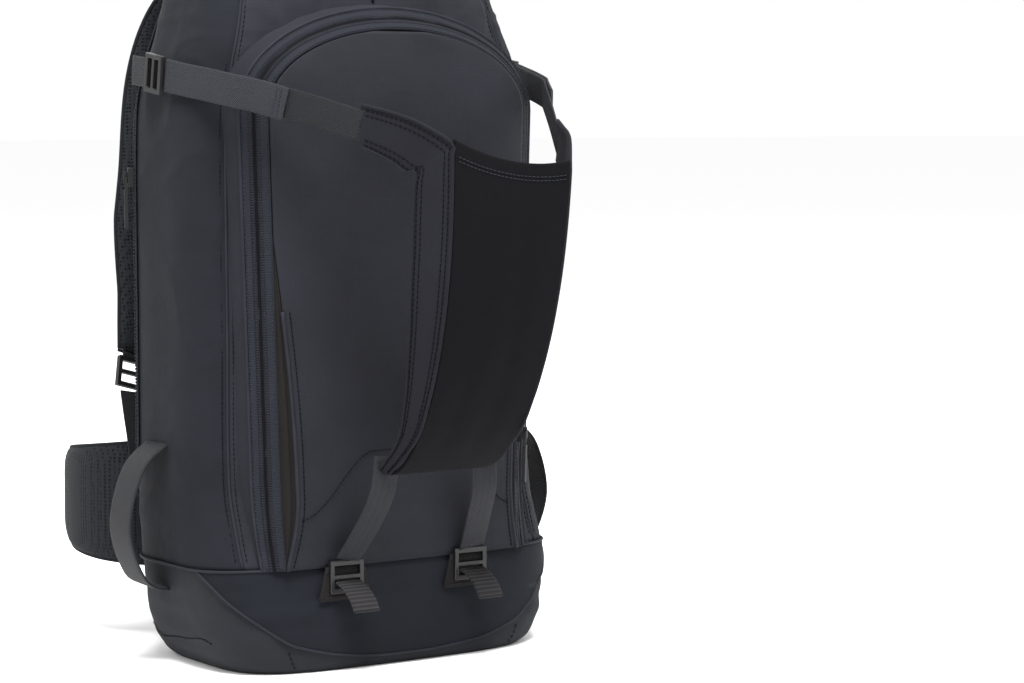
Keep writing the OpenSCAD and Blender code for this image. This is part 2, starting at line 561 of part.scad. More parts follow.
module sling_lower_webbings() {
    color(webbing_grey) for (s = [-1, 1])
        strip(smooth([[s * 38, sling_root_y + 3.2, sling_root_z + 12], [s * 41, -117, 122], [s * 45, -104, 98], [s * lock_x, -88.6, 76]], 3),
            [0, -1, -0.4], webbing, -0.8, 0.8);
}
// A webbing tail that stands out of its ladderlock.
module sling_tail(s) {
    color(webbing_grey) strip(smooth([[s * lock_x, -88.6, 60], [s * lock_x, -97, 57], [s * lock_x, -106, 51], [s * lock_x, -112, 43]], 3),
        [0, -0.6, 1], webbing, 0, web_thick);
}

base_panel();
base_rim();
lower_front_panel();
left_side_panel();
right_side_panel();
front_divider();
back_wall();
top_panel();
front_gusset();
front_panel();
front_bellows();
front_zip();
front_slider();
front_pull();
lid_zip();
lid_slider();
lid_pull();
main_zip();
main_slider_left();
main_slider_right();
main_pull_left();
main_pull_right();
frame_sheet();
frame_stays();
back_pads();
lumbar_pad();
shoulder_strap(-1);  // shoulder_strap_left
shoulder_strap(1);  // shoulder_strap_right
load_lifters();
strap_adjusters();
lower_webbings();
sternum_rails();
sternum_sliders();
sternum_webbing_left();
sternum_webbing_right();
sternum_female();
sternum_male();
hip_wing(-1);  // hip_wing_left
hip_wing(1);  // hip_wing_right
hip_webbing_left();
hip_webbing_right();
hip_female();
hip_male();
grab_handle();
sling_panel();
sling_wing(-1);  // sling_wing_left
sling_wing(1);  // sling_wing_right
sling_webbings();
sling_returns();
sling_ladderlocks_upper();
sling_ladderlocks_lower();
sling_tabs();
sling_lower_webbings();
sling_tail(-1);  // sling_tail_left
sling_tail(1);  // sling_tail_right
ski_loops();
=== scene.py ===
"""Ski backpack with a helmet sling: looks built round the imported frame.

Lengths in the shapes are millimetres, and each mesh is stored in metres.
"""
import bpy
import bmesh
import math
from mathutils import Matrix, Vector, noise


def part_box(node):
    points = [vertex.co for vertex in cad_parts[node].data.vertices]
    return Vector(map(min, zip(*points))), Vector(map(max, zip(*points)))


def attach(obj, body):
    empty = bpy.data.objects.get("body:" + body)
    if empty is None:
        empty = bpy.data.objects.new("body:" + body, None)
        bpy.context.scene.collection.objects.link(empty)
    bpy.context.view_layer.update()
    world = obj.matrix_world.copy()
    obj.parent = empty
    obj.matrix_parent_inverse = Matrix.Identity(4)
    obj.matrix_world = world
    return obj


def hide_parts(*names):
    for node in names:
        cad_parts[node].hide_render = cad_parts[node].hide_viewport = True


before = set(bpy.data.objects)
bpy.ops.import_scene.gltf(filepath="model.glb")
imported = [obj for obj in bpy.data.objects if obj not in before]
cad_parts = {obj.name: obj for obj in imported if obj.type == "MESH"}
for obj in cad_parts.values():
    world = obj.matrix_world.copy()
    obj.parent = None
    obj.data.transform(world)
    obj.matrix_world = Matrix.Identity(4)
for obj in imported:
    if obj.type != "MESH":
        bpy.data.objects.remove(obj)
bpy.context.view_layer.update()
MM = 0.001
SIDES = (("left", -1), ("right", 1))


def corners(node):
    """Lowest and highest corners of one of the frame's nodes, in millimetres."""
    return [[round(c / MM, 2) for c in corner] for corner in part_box(node)]


# ---------------------------------------------------------------- camera, light and floor

def place_camera():
    """Looks at the sling's side of the bag from its left, a little above the sling's hem."""
    target = Vector((0.041, -0.150, 0.222))
    turn, rise, away = math.radians(-35), math.radians(4.5), 1.9
    back = Vector((math.sin(turn) * math.cos(rise), -math.cos(turn) * math.cos(rise), math.sin(rise)))
    data = bpy.data.cameras.new("camera")
    data.sensor_width = 36
    data.lens = 100.2
    camera = bpy.data.objects.new("camera", data)
    bpy.context.scene.collection.objects.link(camera)
    camera.location = target + back * away
    camera.rotation_mode = "QUATERNION"
    camera.rotation_quaternion = (-back).to_track_quat("-Z", "Y")
    data.clip_end = 100
    bpy.context.scene.camera = camera


def place_lights():
    """Large soft boxes: one high in front, one on each side, one behind."""
    for name, place, size, power in (
            ("top_light", (-0.5, -0.9, 2.4), 1.2, 165), ("left_light", (-2.4, -0.6, 1.2), 1.4, 16),
            ("right_light", (1.8, -1.6, 1.2), 1.4, 12), ("back_light", (0.4, 2.2, 1.5), 1.8, 16)):
        data = bpy.data.lights.new(name, "AREA")
        data.shape = "SQUARE"
        data.size = size
        data.energy = power
        lamp = bpy.data.objects.new(name, data)
        bpy.context.scene.collection.objects.link(lamp)
        lamp.location = place
        lamp.rotation_mode = "QUATERNION"
        lamp.rotation_quaternion = (Vector((0, 0, 0.28)) - Vector(place)).to_track_quat("-Z", "Y")
    world = bpy.data.worlds.new("studio")
    bpy.context.scene.world = world
    world.use_nodes = True
    sky = world.node_tree.nodes["Background"]
    sky.inputs["Color"].default_value = (1, 1, 1, 1)
    sky.inputs["Strength"].default_value = 1.0
    bpy.context.scene.view_settings.view_transform = "Standard"


# ---------------------------------------------------------------- finishes

def linear(hex_value):
    """Linear colour of an sRGB hex value."""
    parts = [int(hex_value[i:i + 2], 16) / 255 for i in (1, 3, 5)]
    return [c / 12.92 if c <= 0.04045 else ((c + 0.055) / 1.055) ** 2.4 for c in parts] + [1]


def add(mat, kind, settings=None, links=None):
    """Adds a node with its settings, and sets or links its sockets."""
    made = mat.node_tree.nodes.new(kind)
    for key, value in (settings or {}).items():
        setattr(made, key, value)
    for key, value in (links or {}).items():
        socket = made.inputs[key]
        if isinstance(value, bpy.types.NodeSocket):
            mat.node_tree.links.new(value, socket)
        else:
            socket.default_value = value
    return made


def new_finish(name, **shader):
    """A material with a Principled shader, and its shader node."""
    mat = bpy.data.materials.new(name)
    mat.use_nodes = True
    skin = mat.node_tree.nodes["Principled BSDF"]
    for key, value in shader.items():
        skin.inputs[key.replace("_", " ").title().replace("Ior", "IOR")].default_value = value
    return mat, skin


# Scale of a wave texture whose stripes are one unit apart.
STRIPE = 0.314


def woven(name, deep, pale, thread=0.55, ribs=0.0, rib_grid=0.0, depth=0.12, blotch=0.5, rough=0.72,
          sheen=0.02, slub=0.0):
    """Woven synthetic cloth, laid flat on the piece's own UV map. Spacings are in millimetres.

    A plain weave of the given thread spacing, with ripstop squares of rib_grid, or cross ribs. Blotch is how
    uneven its colour is, and slub its heathered streaks. The weave's height is painted into the colour too:
    paler on raised threads, ribs and ripstop lines, darker between them, as painted highlight and shade.
    """
    mat, skin = new_finish(name, roughness=rough, sheen_weight=sheen, sheen_roughness=0.4,
                           specular_ior_level=0.1)
    where = add(mat, "ShaderNodeUVMap", {"uv_map": "cloth"}).outputs[0]
    cut = add(mat, "ShaderNodeSeparateXYZ", links={0: where})
    warp, weft = [add(mat, "ShaderNodeTexWave", {"bands_direction": way},
                      {"Vector": where, "Scale": STRIPE / (thread * MM)}).outputs["Fac"] for way in "XY"]
    cross = add(mat, "ShaderNodeMath", {"operation": "SUBTRACT"}, {0: warp, 1: weft})
    height = add(mat, "ShaderNodeMath", {"operation": "ABSOLUTE"}, {0: cross.outputs[0]}).outputs[0]
    if ribs:
        line = add(mat, "ShaderNodeTexWave", {"bands_direction": "Y"},
                   {"Vector": where, "Scale": STRIPE / (ribs * MM)})
        height = add(mat, "ShaderNodeMath", {"operation": "MULTIPLY_ADD"},
                     {0: line.outputs["Fac"], 1: 2.0, 2: height}).outputs[0]
    if rib_grid:
        for way in (0, 1):
            step = add(mat, "ShaderNodeMath", {"operation": "PINGPONG"},
                       {0: cut.outputs[way], 1: rib_grid * MM / 2})
            edge = add(mat, "ShaderNodeMapRange", {"interpolation_type": "SMOOTHSTEP"},
                       {"Value": step.outputs[0], "From Min": 0.0, "From Max": 0.45 * MM,
                        "To Min": 0.8, "To Max": 0.0})
            height = add(mat, "ShaderNodeMath", {"operation": "ADD"},
                         {0: height, 1: edge.outputs[0]}).outputs[0]
    body = add(mat, "ShaderNodeTexCoord").outputs["Object"]
    cloud = add(mat, "ShaderNodeTexNoise",
                links={"Vector": body, "Scale": 14.0, "Detail": 5.0, "Roughness": 0.6})
    shade = add(mat, "ShaderNodeMapRange",
                links={"Value": cloud.outputs["Fac"], "From Min": 0.3, "From Max": 0.7,
                       "To Min": 0.5 - blotch / 2, "To Max": 0.5 + blotch / 2}).outputs[0]
    if slub:
        long_way = add(mat, "ShaderNodeMapping", links={"Vector": where, "Scale": (90, 1500, 1)})
        streak = add(mat, "ShaderNodeTexNoise",
                     links={"Vector": long_way.outputs[0], "Scale": 1.0, "Detail": 2.0})
        shade = add(mat, "ShaderNodeMath", {"operation": "MULTIPLY_ADD"},
                    {0: streak.outputs["Fac"], 1: slub, 2: shade}).outputs[0]
    # Painted highlight and shade: the weave's height is added into the colour, so raised threads, ribs and
    # ripstop lines are paler and the hollows between them darker.
    fine = add(mat, "ShaderNodeMath", {"operation": "MULTIPLY_ADD", "use_clamp": True},
               {0: height, 1: 0.12, 2: shade}).outputs[0]
    tint = add(mat, "ShaderNodeMix", {"data_type": "RGBA"}, {0: fine, 6: linear(deep), 7: linear(pale)})
    mat.node_tree.links.new(tint.outputs[2], skin.inputs["Base Color"])
    soft = add(mat, "ShaderNodeTexNoise", links={"Vector": body, "Scale": 55.0, "Detail": 4.0})
    press = add(mat, "ShaderNodeBump",
                links={"Height": soft.outputs["Fac"], "Strength": 0.22, "Distance": 0.004})
    weave = add(mat, "ShaderNodeBump", links={"Height": height, "Strength": 0.55, "Distance": depth * MM,
                                              "Normal": press.outputs[0]})
    mat.node_tree.links.new(weave.outputs[0], skin.inputs["Normal"])
    return mat


def webbing_finish(name, deep, pale, rib=1.5, chevron=0.0, slant=0.0, depth=0.3):
    """Woven nylon webbing: ribs across its width, slanted or turned back at each chevron, over long cords.
    Its colour is painted from the ribs' height: painted shade in the grooves, painted highlight on the ribs.
    """
    mat, skin = new_finish(name, roughness=0.62, sheen_weight=0.02, sheen_roughness=0.35,
                           specular_ior_level=0.15)
    where = add(mat, "ShaderNodeUVMap", {"uv_map": "cloth"}).outputs[0]
    cut = add(mat, "ShaderNodeSeparateXYZ", links={0: where})
    run = cut.outputs[1]
    if slant:
        run = add(mat, "ShaderNodeMath", {"operation": "MULTIPLY_ADD"},
                  {0: cut.outputs[0], 1: slant, 2: run}).outputs[0]
    if chevron:
        bend = add(mat, "ShaderNodeMath", {"operation": "PINGPONG"}, {0: cut.outputs[0], 1: chevron * MM})
        run = add(mat, "ShaderNodeMath", {"operation": "MULTIPLY_ADD"},
                  {0: bend.outputs[0], 1: 1.0, 2: run}).outputs[0]
    turns = add(mat, "ShaderNodeMath", {"operation": "MULTIPLY"}, {0: run, 1: 2 * math.pi / (rib * MM)})
    wave = add(mat, "ShaderNodeMath", {"operation": "SINE"}, {0: turns.outputs[0]})
    cord = 1.1
    cords = add(mat, "ShaderNodeMath", {"operation": "MULTIPLY"},
                {0: cut.outputs[0], 1: 2 * math.pi / (cord * MM)})
    side = add(mat, "ShaderNodeMath", {"operation": "SINE"}, {0: cords.outputs[0]})
    height = add(mat, "ShaderNodeMath", {"operation": "MULTIPLY_ADD"},
                 {0: side.outputs[0], 1: 0.6, 2: wave.outputs[0]})
    # Painted shade and highlight: the colour follows the ribs' height, darker in the grooves and paler on the
    # ribs.
    relief_shade = add(mat, "ShaderNodeMapRange",
                links={"Value": height.outputs[0], "From Min": -1.4, "From Max": 1.4})
    tint = add(mat, "ShaderNodeMix", {"data_type": "RGBA"},
               {0: relief_shade.outputs[0], 6: linear(deep), 7: linear(pale)})
    mat.node_tree.links.new(tint.outputs[2], skin.inputs["Base Color"])
    bump = add(mat, "ShaderNodeBump",
               links={"Height": height.outputs[0], "Strength": 0.7, "Distance": depth * MM})
    mat.node_tree.links.new(bump.outputs[0], skin.inputs["Normal"])
    return mat


def mesh_finish(name, deep, pale, hole=2.6):
    """Spacer mesh: knitted polyester with small round holes in staggered rows over dark foam.

    The holes are painted near black, as painted shade inside them.
    """
    mat, skin = new_finish(name, roughness=0.85, sheen_weight=0.03, sheen_roughness=0.5,
                           specular_ior_level=0.1)
    body = add(mat, "ShaderNodeTexCoord").outputs["Object"]
    cells = add(mat, "ShaderNodeTexVoronoi", {"feature": "F1", "distance": "EUCLIDEAN"},
                {"Vector": body, "Scale": 1 / (hole * MM), "Randomness": 0.22})
    # Painted shade: the colour follows the holes' depth, near black in the holes.
    relief_shade = add(mat, "ShaderNodeMapRange", {"interpolation_type": "SMOOTHSTEP"},
                {"Value": cells.outputs["Distance"], "From Min": 0.18, "From Max": 0.5})
    tint = add(mat, "ShaderNodeMix", {"data_type": "RGBA"},
               {0: relief_shade.outputs[0], 6: linear(deep), 7: linear(pale)})
    mat.node_tree.links.new(tint.outputs[2], skin.inputs["Base Color"])
    bump = add(mat, "ShaderNodeBump",
               links={"Height": relief_shade.outputs[0], "Strength": 0.8, "Distance": 0.6 * MM})
    mat.node_tree.links.new(bump.outputs[0], skin.inputs["Normal"])
    return mat


def grained(name, deep, pale, rough=0.5, grain=0.5, depth=0.05, gloss=0.1):
    """A moulded or painted surface with a fine spark grain, paler where it has rubbed."""
    mat, skin = new_finish(name, roughness=rough, metallic=0.0, specular_ior_level=gloss)
    body = add(mat, "ShaderNodeTexCoord").outputs["Object"]
    grit = add(mat, "ShaderNodeTexNoise",
               links={"Vector": body, "Scale": 1 / (grain * MM), "Detail": 3.0})
    cloud = add(mat, "ShaderNodeTexNoise", links={"Vector": body, "Scale": 60.0, "Detail": 3.0})
    tint = add(mat, "ShaderNodeMix", {"data_type": "RGBA"},
               {0: cloud.outputs["Fac"], 6: linear(deep), 7: linear(pale)})
    mat.node_tree.links.new(tint.outputs[2], skin.inputs["Base Color"])
    sheen = add(mat, "ShaderNodeMapRange",
                links={"Value": cloud.outputs["Fac"], "To Min": rough - 0.08, "To Max": rough + 0.1})
    mat.node_tree.links.new(sheen.outputs[0], skin.inputs["Roughness"])
    bump = add(mat, "ShaderNodeBump",
               links={"Height": grit.outputs["Fac"], "Strength": 0.5, "Distance": depth * MM})
    mat.node_tree.links.new(bump.outputs[0], skin.inputs["Normal"])
    return mat


# Ripstop nylon 210 den, dyed charcoal: a soft sheen, squares of thicker thread 5 mm apart.
body_ripstop = woven("body_ripstop", "#0e0e12", "#1e1f25", thread=0.6,
                     rib_grid=5.0, depth=0.1, blotch=0.5, sheen=0.03)
# Nylon 420 den, navy black: matt, a weave just coarse enough to see.
skirt_nylon = woven("skirt_nylon", "#090b0f", "#12151b", thread=0.9, depth=0.16, blotch=0.5, rough=0.8)
side_nylon = woven("side_nylon", "#0c0d11", "#16181e", thread=0.9, depth=0.16, blotch=0.5, rough=0.78)
# Polyester 600 den for the base: grey black, heathered along its threads, drawn coarser than its 0.5 mm yarn.
base_polyester = woven("base_polyester", "#0c0d0f", "#1f2024",
                       thread=1.1, depth=0.25, blotch=0.3, rough=0.85, slub=0.55)
# Lining cloth of the bellows: brown black and dull.
bellows_cloth = woven("bellows_cloth", "#0d0c0c", "#191716",
                      thread=0.7, depth=0.1, rough=0.9, sheen=0.03)
# Softshell stretch cloth of the sling: very fine and near black, and its wings one shade paler.
sling_softshell = woven("sling_softshell", "#020203", "#050508",
                        thread=0.5, depth=0.06, blotch=0.35, rough=0.9, sheen=0.0)
wing_softshell = woven("wing_softshell", "#0a0a0f", "#16161c",
                       thread=0.5, depth=0.06, blotch=0.4, rough=0.8, sheen=0.02)
# Zip tape: knitted polyester with fine ribs across it.
zip_tape = woven("zip_tape", "#0b0c11", "#1c1e25", thread=0.8, ribs=1.6, depth=0.2, blotch=0.3, rough=0.75)
# Nylon webbing: herringbone ribs for the sling's straps, plain ribs for the heavy straps.
strap_herringbone = webbing_finish("strap_herringbone", "#09090c", "#25262b", rib=1.7, chevron=2.5)
return_twill = webbing_finish("return_twill", "#0d0d11", "#2b2d33", rib=1.5, slant=0.8)
strap_plain = webbing_finish("strap_plain", "#060608", "#1b1c20", rib=1.6, slant=0.7)
tail_ribbed = webbing_finish("tail_ribbed", "#0d0d0f", "#2b292b", rib=3.4, depth=0.6)
# Bonded nylon sewing thread: a little paler than the cloth, with a waxy gloss.
thread = grained("thread", "#17181d", "#25262d", rough=0.6, grain=0.3)
deep_thread = grained("deep_thread", "#050507", "#0b0b0e", rough=0.7, grain=0.3, gloss=0.04)
# Edge tape and piping: the body's nylon folded over cord, so it catches a line of light.
piping_nylon = grained("piping_nylon", "#131418", "#1f2027", rough=0.65, grain=0.6)
# Knitted spacer mesh, its holes painted near black as shade, and brushed nylon on the harness.
spacer_mesh = mesh_finish("spacer_mesh", "#030304", "#17181b")
harness_nylon = woven("harness_nylon", "#0a0b0e", "#16171b", thread=0.9, depth=0.15, rough=0.82)
# Acetal buckles: black, moulded, with a fine spark grain.
acetal = grained("acetal", "#070708", "#101012", rough=0.42, grain=0.5, gloss=0.35)
# Zip coils: extruded nylon, satin.
coil_nylon = grained("coil_nylon", "#0f1014", "#1b1c22", rough=0.5, grain=0.8)
# Zinc die-cast sliders, black painted, and rubber grips.
slider_paint = grained("slider_paint", "#070708", "#101012", rough=0.5, grain=0.4, gloss=0.2)
grip_rubber = grained("grip_rubber", "#0b0b0d", "#151518", rough=0.7, grain=0.4, gloss=0.2)


# ---------------------------------------------------------------- shapes of the bag

# Height, half width, back and front of the bag's sections.
SECTIONS = ((0, 116, 66, -80), (6, 124, 68, -85), (22, 133, 70, -86), (45, 138, 70, -82),
            (66, 140, 70, -79), (90, 140, 70, -69), (125, 140, 70, -58), (230, 140, 70, -57),
            (340, 140, 70, -56), (376, 138, 70, -54), (404, 131, 70, -51), (430, 122, 69, -47),
            (455, 114, 66, -40), (480, 102, 60, -29), (500, 86, 53, -17), (515, 66, 43, -4),
            (526, 42, 32, 5), (532, 18, 22, 11))
# Seam between the base and the upper cloth, and the top of the bag.
SEAM, TOP = corners("lower_front_panel")[1][2], corners("top_panel")[1][2]
# The front zip: half its band's width, where the arch springs, and how far a leg leans in towards its foot.
BAND, SPRING, TAPER = 6.75, 376.0, 9.5
ZIP_LOW, ZIP_HIGH = corners("front_gusset")
LEG, ZIP_HALF, RISE = ZIP_LOW[2], ZIP_HIGH[0] - BAND, ZIP_HIGH[2] - BAND - SPRING
# From the zip's middle line in to the front panel's edge, and the panel's own half width, arch and top.
INSET = 7.25
PANEL_HALF, PANEL_RISE, PANEL_TOP = ZIP_HALF - INSET, RISE - INSET, corners("front_panel")[1][2]


def section(z, k):
    """One value of the section at height z, as a smooth curve through the table."""
    z = min(max(z, 0.0), TOP)
    i = 0
    while i < len(SECTIONS) - 2 and SECTIONS[i + 1][0] < z:
        i += 1

    def slope(j):
        a, b = SECTIONS[max(j - 1, 0)], SECTIONS[min(j + 1, len(SECTIONS) - 1)]
        return (b[k] - a[k]) / (b[0] - a[0])
    p, q = SECTIONS[i], SECTIONS[i + 1]
    h = q[0] - p[0]
    t = (z - p[0]) / h
    return ((2 * t**3 - 3 * t**2 + 1) * p[k] + (t**3 - 2 * t**2 + t) * h * slope(i)
            + (3 * t**2 - 2 * t**3) * q[k] + (t**3 - t**2) * h * slope(i + 1))


def rounded(c):
    """The square root of c, with its sign: it squares off a circle's cosine or sine."""
    return math.copysign(math.sqrt(abs(c)), c)


def bag(a, z, lift=0.0):
    """A point of the bag's surface at plan angle a, in degrees, and height z, moved out by lift."""
    back, front = section(z, 2), section(z, 3)
    a = math.radians(a)
    return Vector(((section(z, 1) + lift) * rounded(math.cos(a)),
                   (back + front) / 2 + ((back - front) / 2 + lift) * rounded(math.sin(a)), z))


def bag_out(a, z):
    """The direction out of the bag there."""
    return (bag(a + 0.5, z) - bag(a - 0.5, z)).cross(bag(a, z + 1) - bag(a, z - 1)).normalized()


def front_y(x, z):
    """Where the bag's front surface is at x and height z."""
    back, front = section(z, 2), section(z, 3)
    return (back + front) / 2 - (back - front) / 2 * max(0.01, 1 - (abs(x) / section(z, 1)) ** 4) ** 0.25


def clamp(x, low=0.0, high=1.0):
    """Holds x between low and high."""
    return min(max(x, low), high)


def ease(x):
    """A smooth step from 0 to 1."""
    x = clamp(x)
    return x * x * (3 - 2 * x)


def rough(x, y, z, size, seed=0.0):
    """Smooth noise from -1 to 1 with features of the given size."""
    return noise.noise(Vector((x / size + seed, y / size + seed * 1.7, z / size - seed)))


def creases(x, y, z, seed=0.0):
    """The slack of a filled bag's cloth: long shallow folds and small puckers, in millimetres."""
    fold = noise.noise(Vector((x / 95 + seed, y / 95, z / 60 + seed)))
    ridge = 1 - abs(noise.noise(Vector((x / 42 - seed, y / 42, z / 70 + seed)))) * 2.2
    fine = noise.noise(Vector((x / 17, y / 17 + seed, z / 13)))
    band = 1 - abs(noise.noise(Vector((x / 60 + seed, y / 60, z / 15 + 3)))) * 2.6
    return 1.3 * fold + 1.0 * max(0, ridge) ** 3 + 0.75 * max(0, band) ** 3 + 0.35 * fine


def smooth_run(points, n=8):
    """A smooth curve of n steps to a span through the points."""
    out = []
    for i in range(len(points) - 1):
        a, b = Vector(points[max(i - 1, 0)]), Vector(points[i])
        c, d = Vector(points[i + 1]), Vector(points[min(i + 2, len(points) - 1)])
        for k in range(n):
            t = k / n
            out.append(0.5 * (2 * b + (c - a) * t + (2 * a - 5 * b + 4 * c - d) * t**2
                              + (3 * b - a - 3 * c + d) * t**3))
    return out + [Vector(points[-1])]


class Run:
    """A path with its outward directions, read by distance along it."""

    def __init__(self, points, outs):
        self.points = [Vector(p) for p in points]
        if not hasattr(outs[0], "__len__"):
            outs = [outs] * len(points)
        self.outs = [Vector(o).normalized() for o in outs]
        self.marks = [0.0]
        for p, q in zip(self.points, self.points[1:]):
            self.marks.append(self.marks[-1] + (q - p).length)
        self.length = self.marks[-1]

    def at(self, share):
        """Place, direction along, direction across and direction out at a share of the length."""
        d = clamp(share) * self.length
        i = 0
        while i < len(self.marks) - 2 and self.marks[i + 1] < d:
            i += 1
        t = (d - self.marks[i]) / max(1e-9, self.marks[i + 1] - self.marks[i])
        n = len(self.points) - 1
        ways = [(self.points[min(j + 1, n)] - self.points[max(j - 1, 0)]).normalized() for j in (i, i + 1)]
        along = ways[0].lerp(ways[1], t).normalized()
        out = self.outs[i].lerp(self.outs[i + 1], t)
        out = (out - along * out.dot(along)).normalized()
        return self.points[i].lerp(self.points[i + 1], t), along, along.cross(out), out


def run_of(pairs):
    """A run through pairs of a place and its direction out."""
    return Run([p for p, o in pairs], [o for p, o in pairs])


def raised(points, outs, lift):
    """A run lifted off the points along its directions out."""
    return Run([p + o.normalized() * lift for p, o in zip(points, outs)], outs)


# ---------------------------------------------------------------- making pieces

def keep(name, shape, smooth=True):
    """Turns a bmesh into an object."""
    mesh = bpy.data.meshes.new(name)
    shape.to_mesh(mesh)
    shape.free()
    piece = bpy.data.objects.new(name, mesh)
    bpy.context.scene.collection.objects.link(piece)
    if smooth:
        mesh.shade_smooth()
    return piece


def dress(piece, finish, body="bag", stands_for=()):
    """Gives a piece its finish and its body, and hides the CAD nodes that it stands for."""
    piece.data.materials.clear()
    piece.data.materials.append(finish)
    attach(piece, body)
    if stands_for:
        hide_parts(*stands_for)
    return piece


def close_up(shape):
    """Joins a grid that has been rolled into a tube and fills its ends."""
    bmesh.ops.remove_doubles(shape, verts=shape.verts, dist=0.00002)
    bmesh.ops.holes_fill(shape, edges=[e for e in shape.edges if e.is_boundary], sides=0)
    bmesh.ops.recalc_face_normals(shape, faces=shape.faces)


def bar(shape, place, along, side, out, size):
    """Adds one small bar, given its length, width and height."""
    turn = Matrix((along, side, out)).transposed().to_4x4()
    turn.translation = place
    bmesh.ops.create_cube(shape, size=1.0, matrix=Matrix.Scale(MM, 4) @ turn @ Matrix.Diagonal((*size, 1)))


def panel(name, point, across, along, size, thick=1.2, core=(0, 5), ring=False):
    """A cloth panel: a grid laid on point(u, v), its face away from the core line, its UV map in metres."""
    shape = bmesh.new()
    bmesh.ops.create_grid(shape, x_segments=across, y_segments=along, size=0.5)
    cloth = shape.loops.layers.uv.new("cloth")
    share = {v: (v.co.x + 0.5, v.co.y + 0.5) for v in shape.verts}
    for face in shape.faces:
        for loop in face.loops:
            u, v = share[loop.vert]
            loop[cloth].uv = (u * size[0] * MM, v * size[1] * MM)
    for v, (a, b) in share.items():
        v.co = Vector(point(a, b)) * MM
    if ring:
        bmesh.ops.remove_doubles(shape, verts=shape.verts, dist=0.00002)
    shape.normal_update()
    turn = 0.0
    for face in shape.faces:
        middle = face.calc_center_median() - Vector((core[0] * MM, core[1] * MM, 0))
        middle.z = 0
        turn += face.normal.dot(middle) * face.calc_area()
    if turn < 0:
        bmesh.ops.reverse_faces(shape, faces=shape.faces)
    piece = keep(name, shape)
    if thick:
        wall = piece.modifiers.new("wall", "SOLIDIFY")
        wall.thickness = thick * MM
        wall.offset = -1
    return piece


def webbing(name, run, width, thick):
    """Flat webbing along a run, with rounded selvages; width may be a function of the share of its length."""
    shape = bmesh.new()
    bmesh.ops.create_grid(shape, x_segments=16, y_segments=max(6, int(run.length / 4)), size=0.5)
    cloth = shape.loops.layers.uv.new("cloth")
    share = {v: (v.co.x + 0.5, v.co.y + 0.5) for v in shape.verts}

    def edge(u, v):
        wide = width(v) if callable(width) else width
        a = 2 * math.pi * u
        return (math.copysign(abs(math.cos(a)) ** 0.22, math.cos(a)) * wide / 2,
                math.copysign(abs(math.sin(a)) ** 0.7, math.sin(a)) * thick / 2)
    for face in shape.faces:
        for loop in face.loops:
            u, v = share[loop.vert]
            loop[cloth].uv = (edge(u, v)[0] * MM, v * run.length * MM)
    for vert, (u, v) in share.items():
        place, along, side, out = run.at(v)
        x, y = edge(u, v)
        vert.co = (place + side * x + out * y) * MM
    close_up(shape)
    return keep(name, shape)


def paired(piece, finish, s, node):
    """Dresses one of a pair of straps; the right one stands for the node that holds both."""
    if s > 0:
        return dress(piece, finish, stands_for=(node,))
    return dress(piece, finish)


def stitches(name, runs, finish=None, pitch=3.2, long=2.3, wide=0.55, lift=0.1):
    """Lock stitches along one or more runs, each a small bar lying on the cloth."""
    shape = bmesh.new()
    for run in runs:
        count = max(2, int(run.length / pitch))
        for i in range(count):
            place, along, side, out = run.at((i + 0.5) / count)
            bar(shape, place + out * lift, along, side, out, (long, wide, wide * 0.8))
    return dress(keep(name, shape), finish or thread)


def piping(name, run, radius, finish=None):
    """Piping: cloth wrapped over a thin cord, along a run."""
    shape = bmesh.new()
    bmesh.ops.create_grid(shape, x_segments=8, y_segments=max(8, int(run.length / 5)), size=0.5)
    for v in shape.verts:
        u, w = v.co.x + 0.5, v.co.y + 0.5
        place, along, side, out = run.at(w)
        a = 2 * math.pi * u
        v.co = (place + side * radius * math.cos(a) + out * radius * math.sin(a)) * MM
    close_up(shape)
    return dress(keep(name, shape), finish or piping_nylon)


def moulded(node, finish, body, edge=0.5):
    """A moulded part: the CAD node's own shape with its edges rounded."""
    shape = bmesh.new()
    shape.from_mesh(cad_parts[node].data)
    bmesh.ops.remove_doubles(shape, verts=shape.verts, dist=0.00001)
    bmesh.ops.dissolve_limit(shape, angle_limit=0.02, verts=shape.verts, edges=shape.edges)
    bmesh.ops.recalc_face_normals(shape, faces=shape.faces)
    piece = keep("moulded_" + node, shape)
    piece.data.set_sharp_from_angle(angle=0.6)
    round_off = piece.modifiers.new("edges", "BEVEL")
    round_off.width = edge * MM
    round_off.segments = 2
    round_off.limit_method = "ANGLE"
    round_off.angle_limit = 0.6
    round_off.profile = 0.5
    return dress(piece, finish, body, (node,))


# ---------------------------------------------------------------- the bag's cloth

def skirt_edge(turn):
    """Height of the skirt's lower edge, by how far round from the front."""
    table = ((0, 7), (13, 12), (28, 20), (40, 33), (56, 49), (76, 70))
    for (a, low), (b, high) in zip(table, table[1:]):
        if turn <= b:
            return low + (high - low) * (turn - a) / (b - a)
    return SEAM


def leg_x(z):
    """The zip's leg: half its spacing at height z."""
    return ZIP_HALF - TAPER * max(0.0, SPRING - z) / (SPRING - SEAM)


def foot(z):
    """1 at the zip's foot, easing to 0 above it, where the bag's base swells out."""
    return max(0.0, 1 - (z - SEAM) / 60) ** 2


def bellows_open(z):
    """How far the bellows stands open at height z, from 0 to 1."""
    if z < 72 or z > 290:
        return 0.0
    if z < 120:
        return math.sin(math.radians(90 * (z - 72) / 48))
    return math.cos(math.radians(90 * (z - 120) / 170))


ARCH_LONG = math.pi * math.sqrt((ZIP_HALF**2 + RISE**2) / 2)
OUTLINE = 2 * (SPRING - LEG) + ARCH_LONG


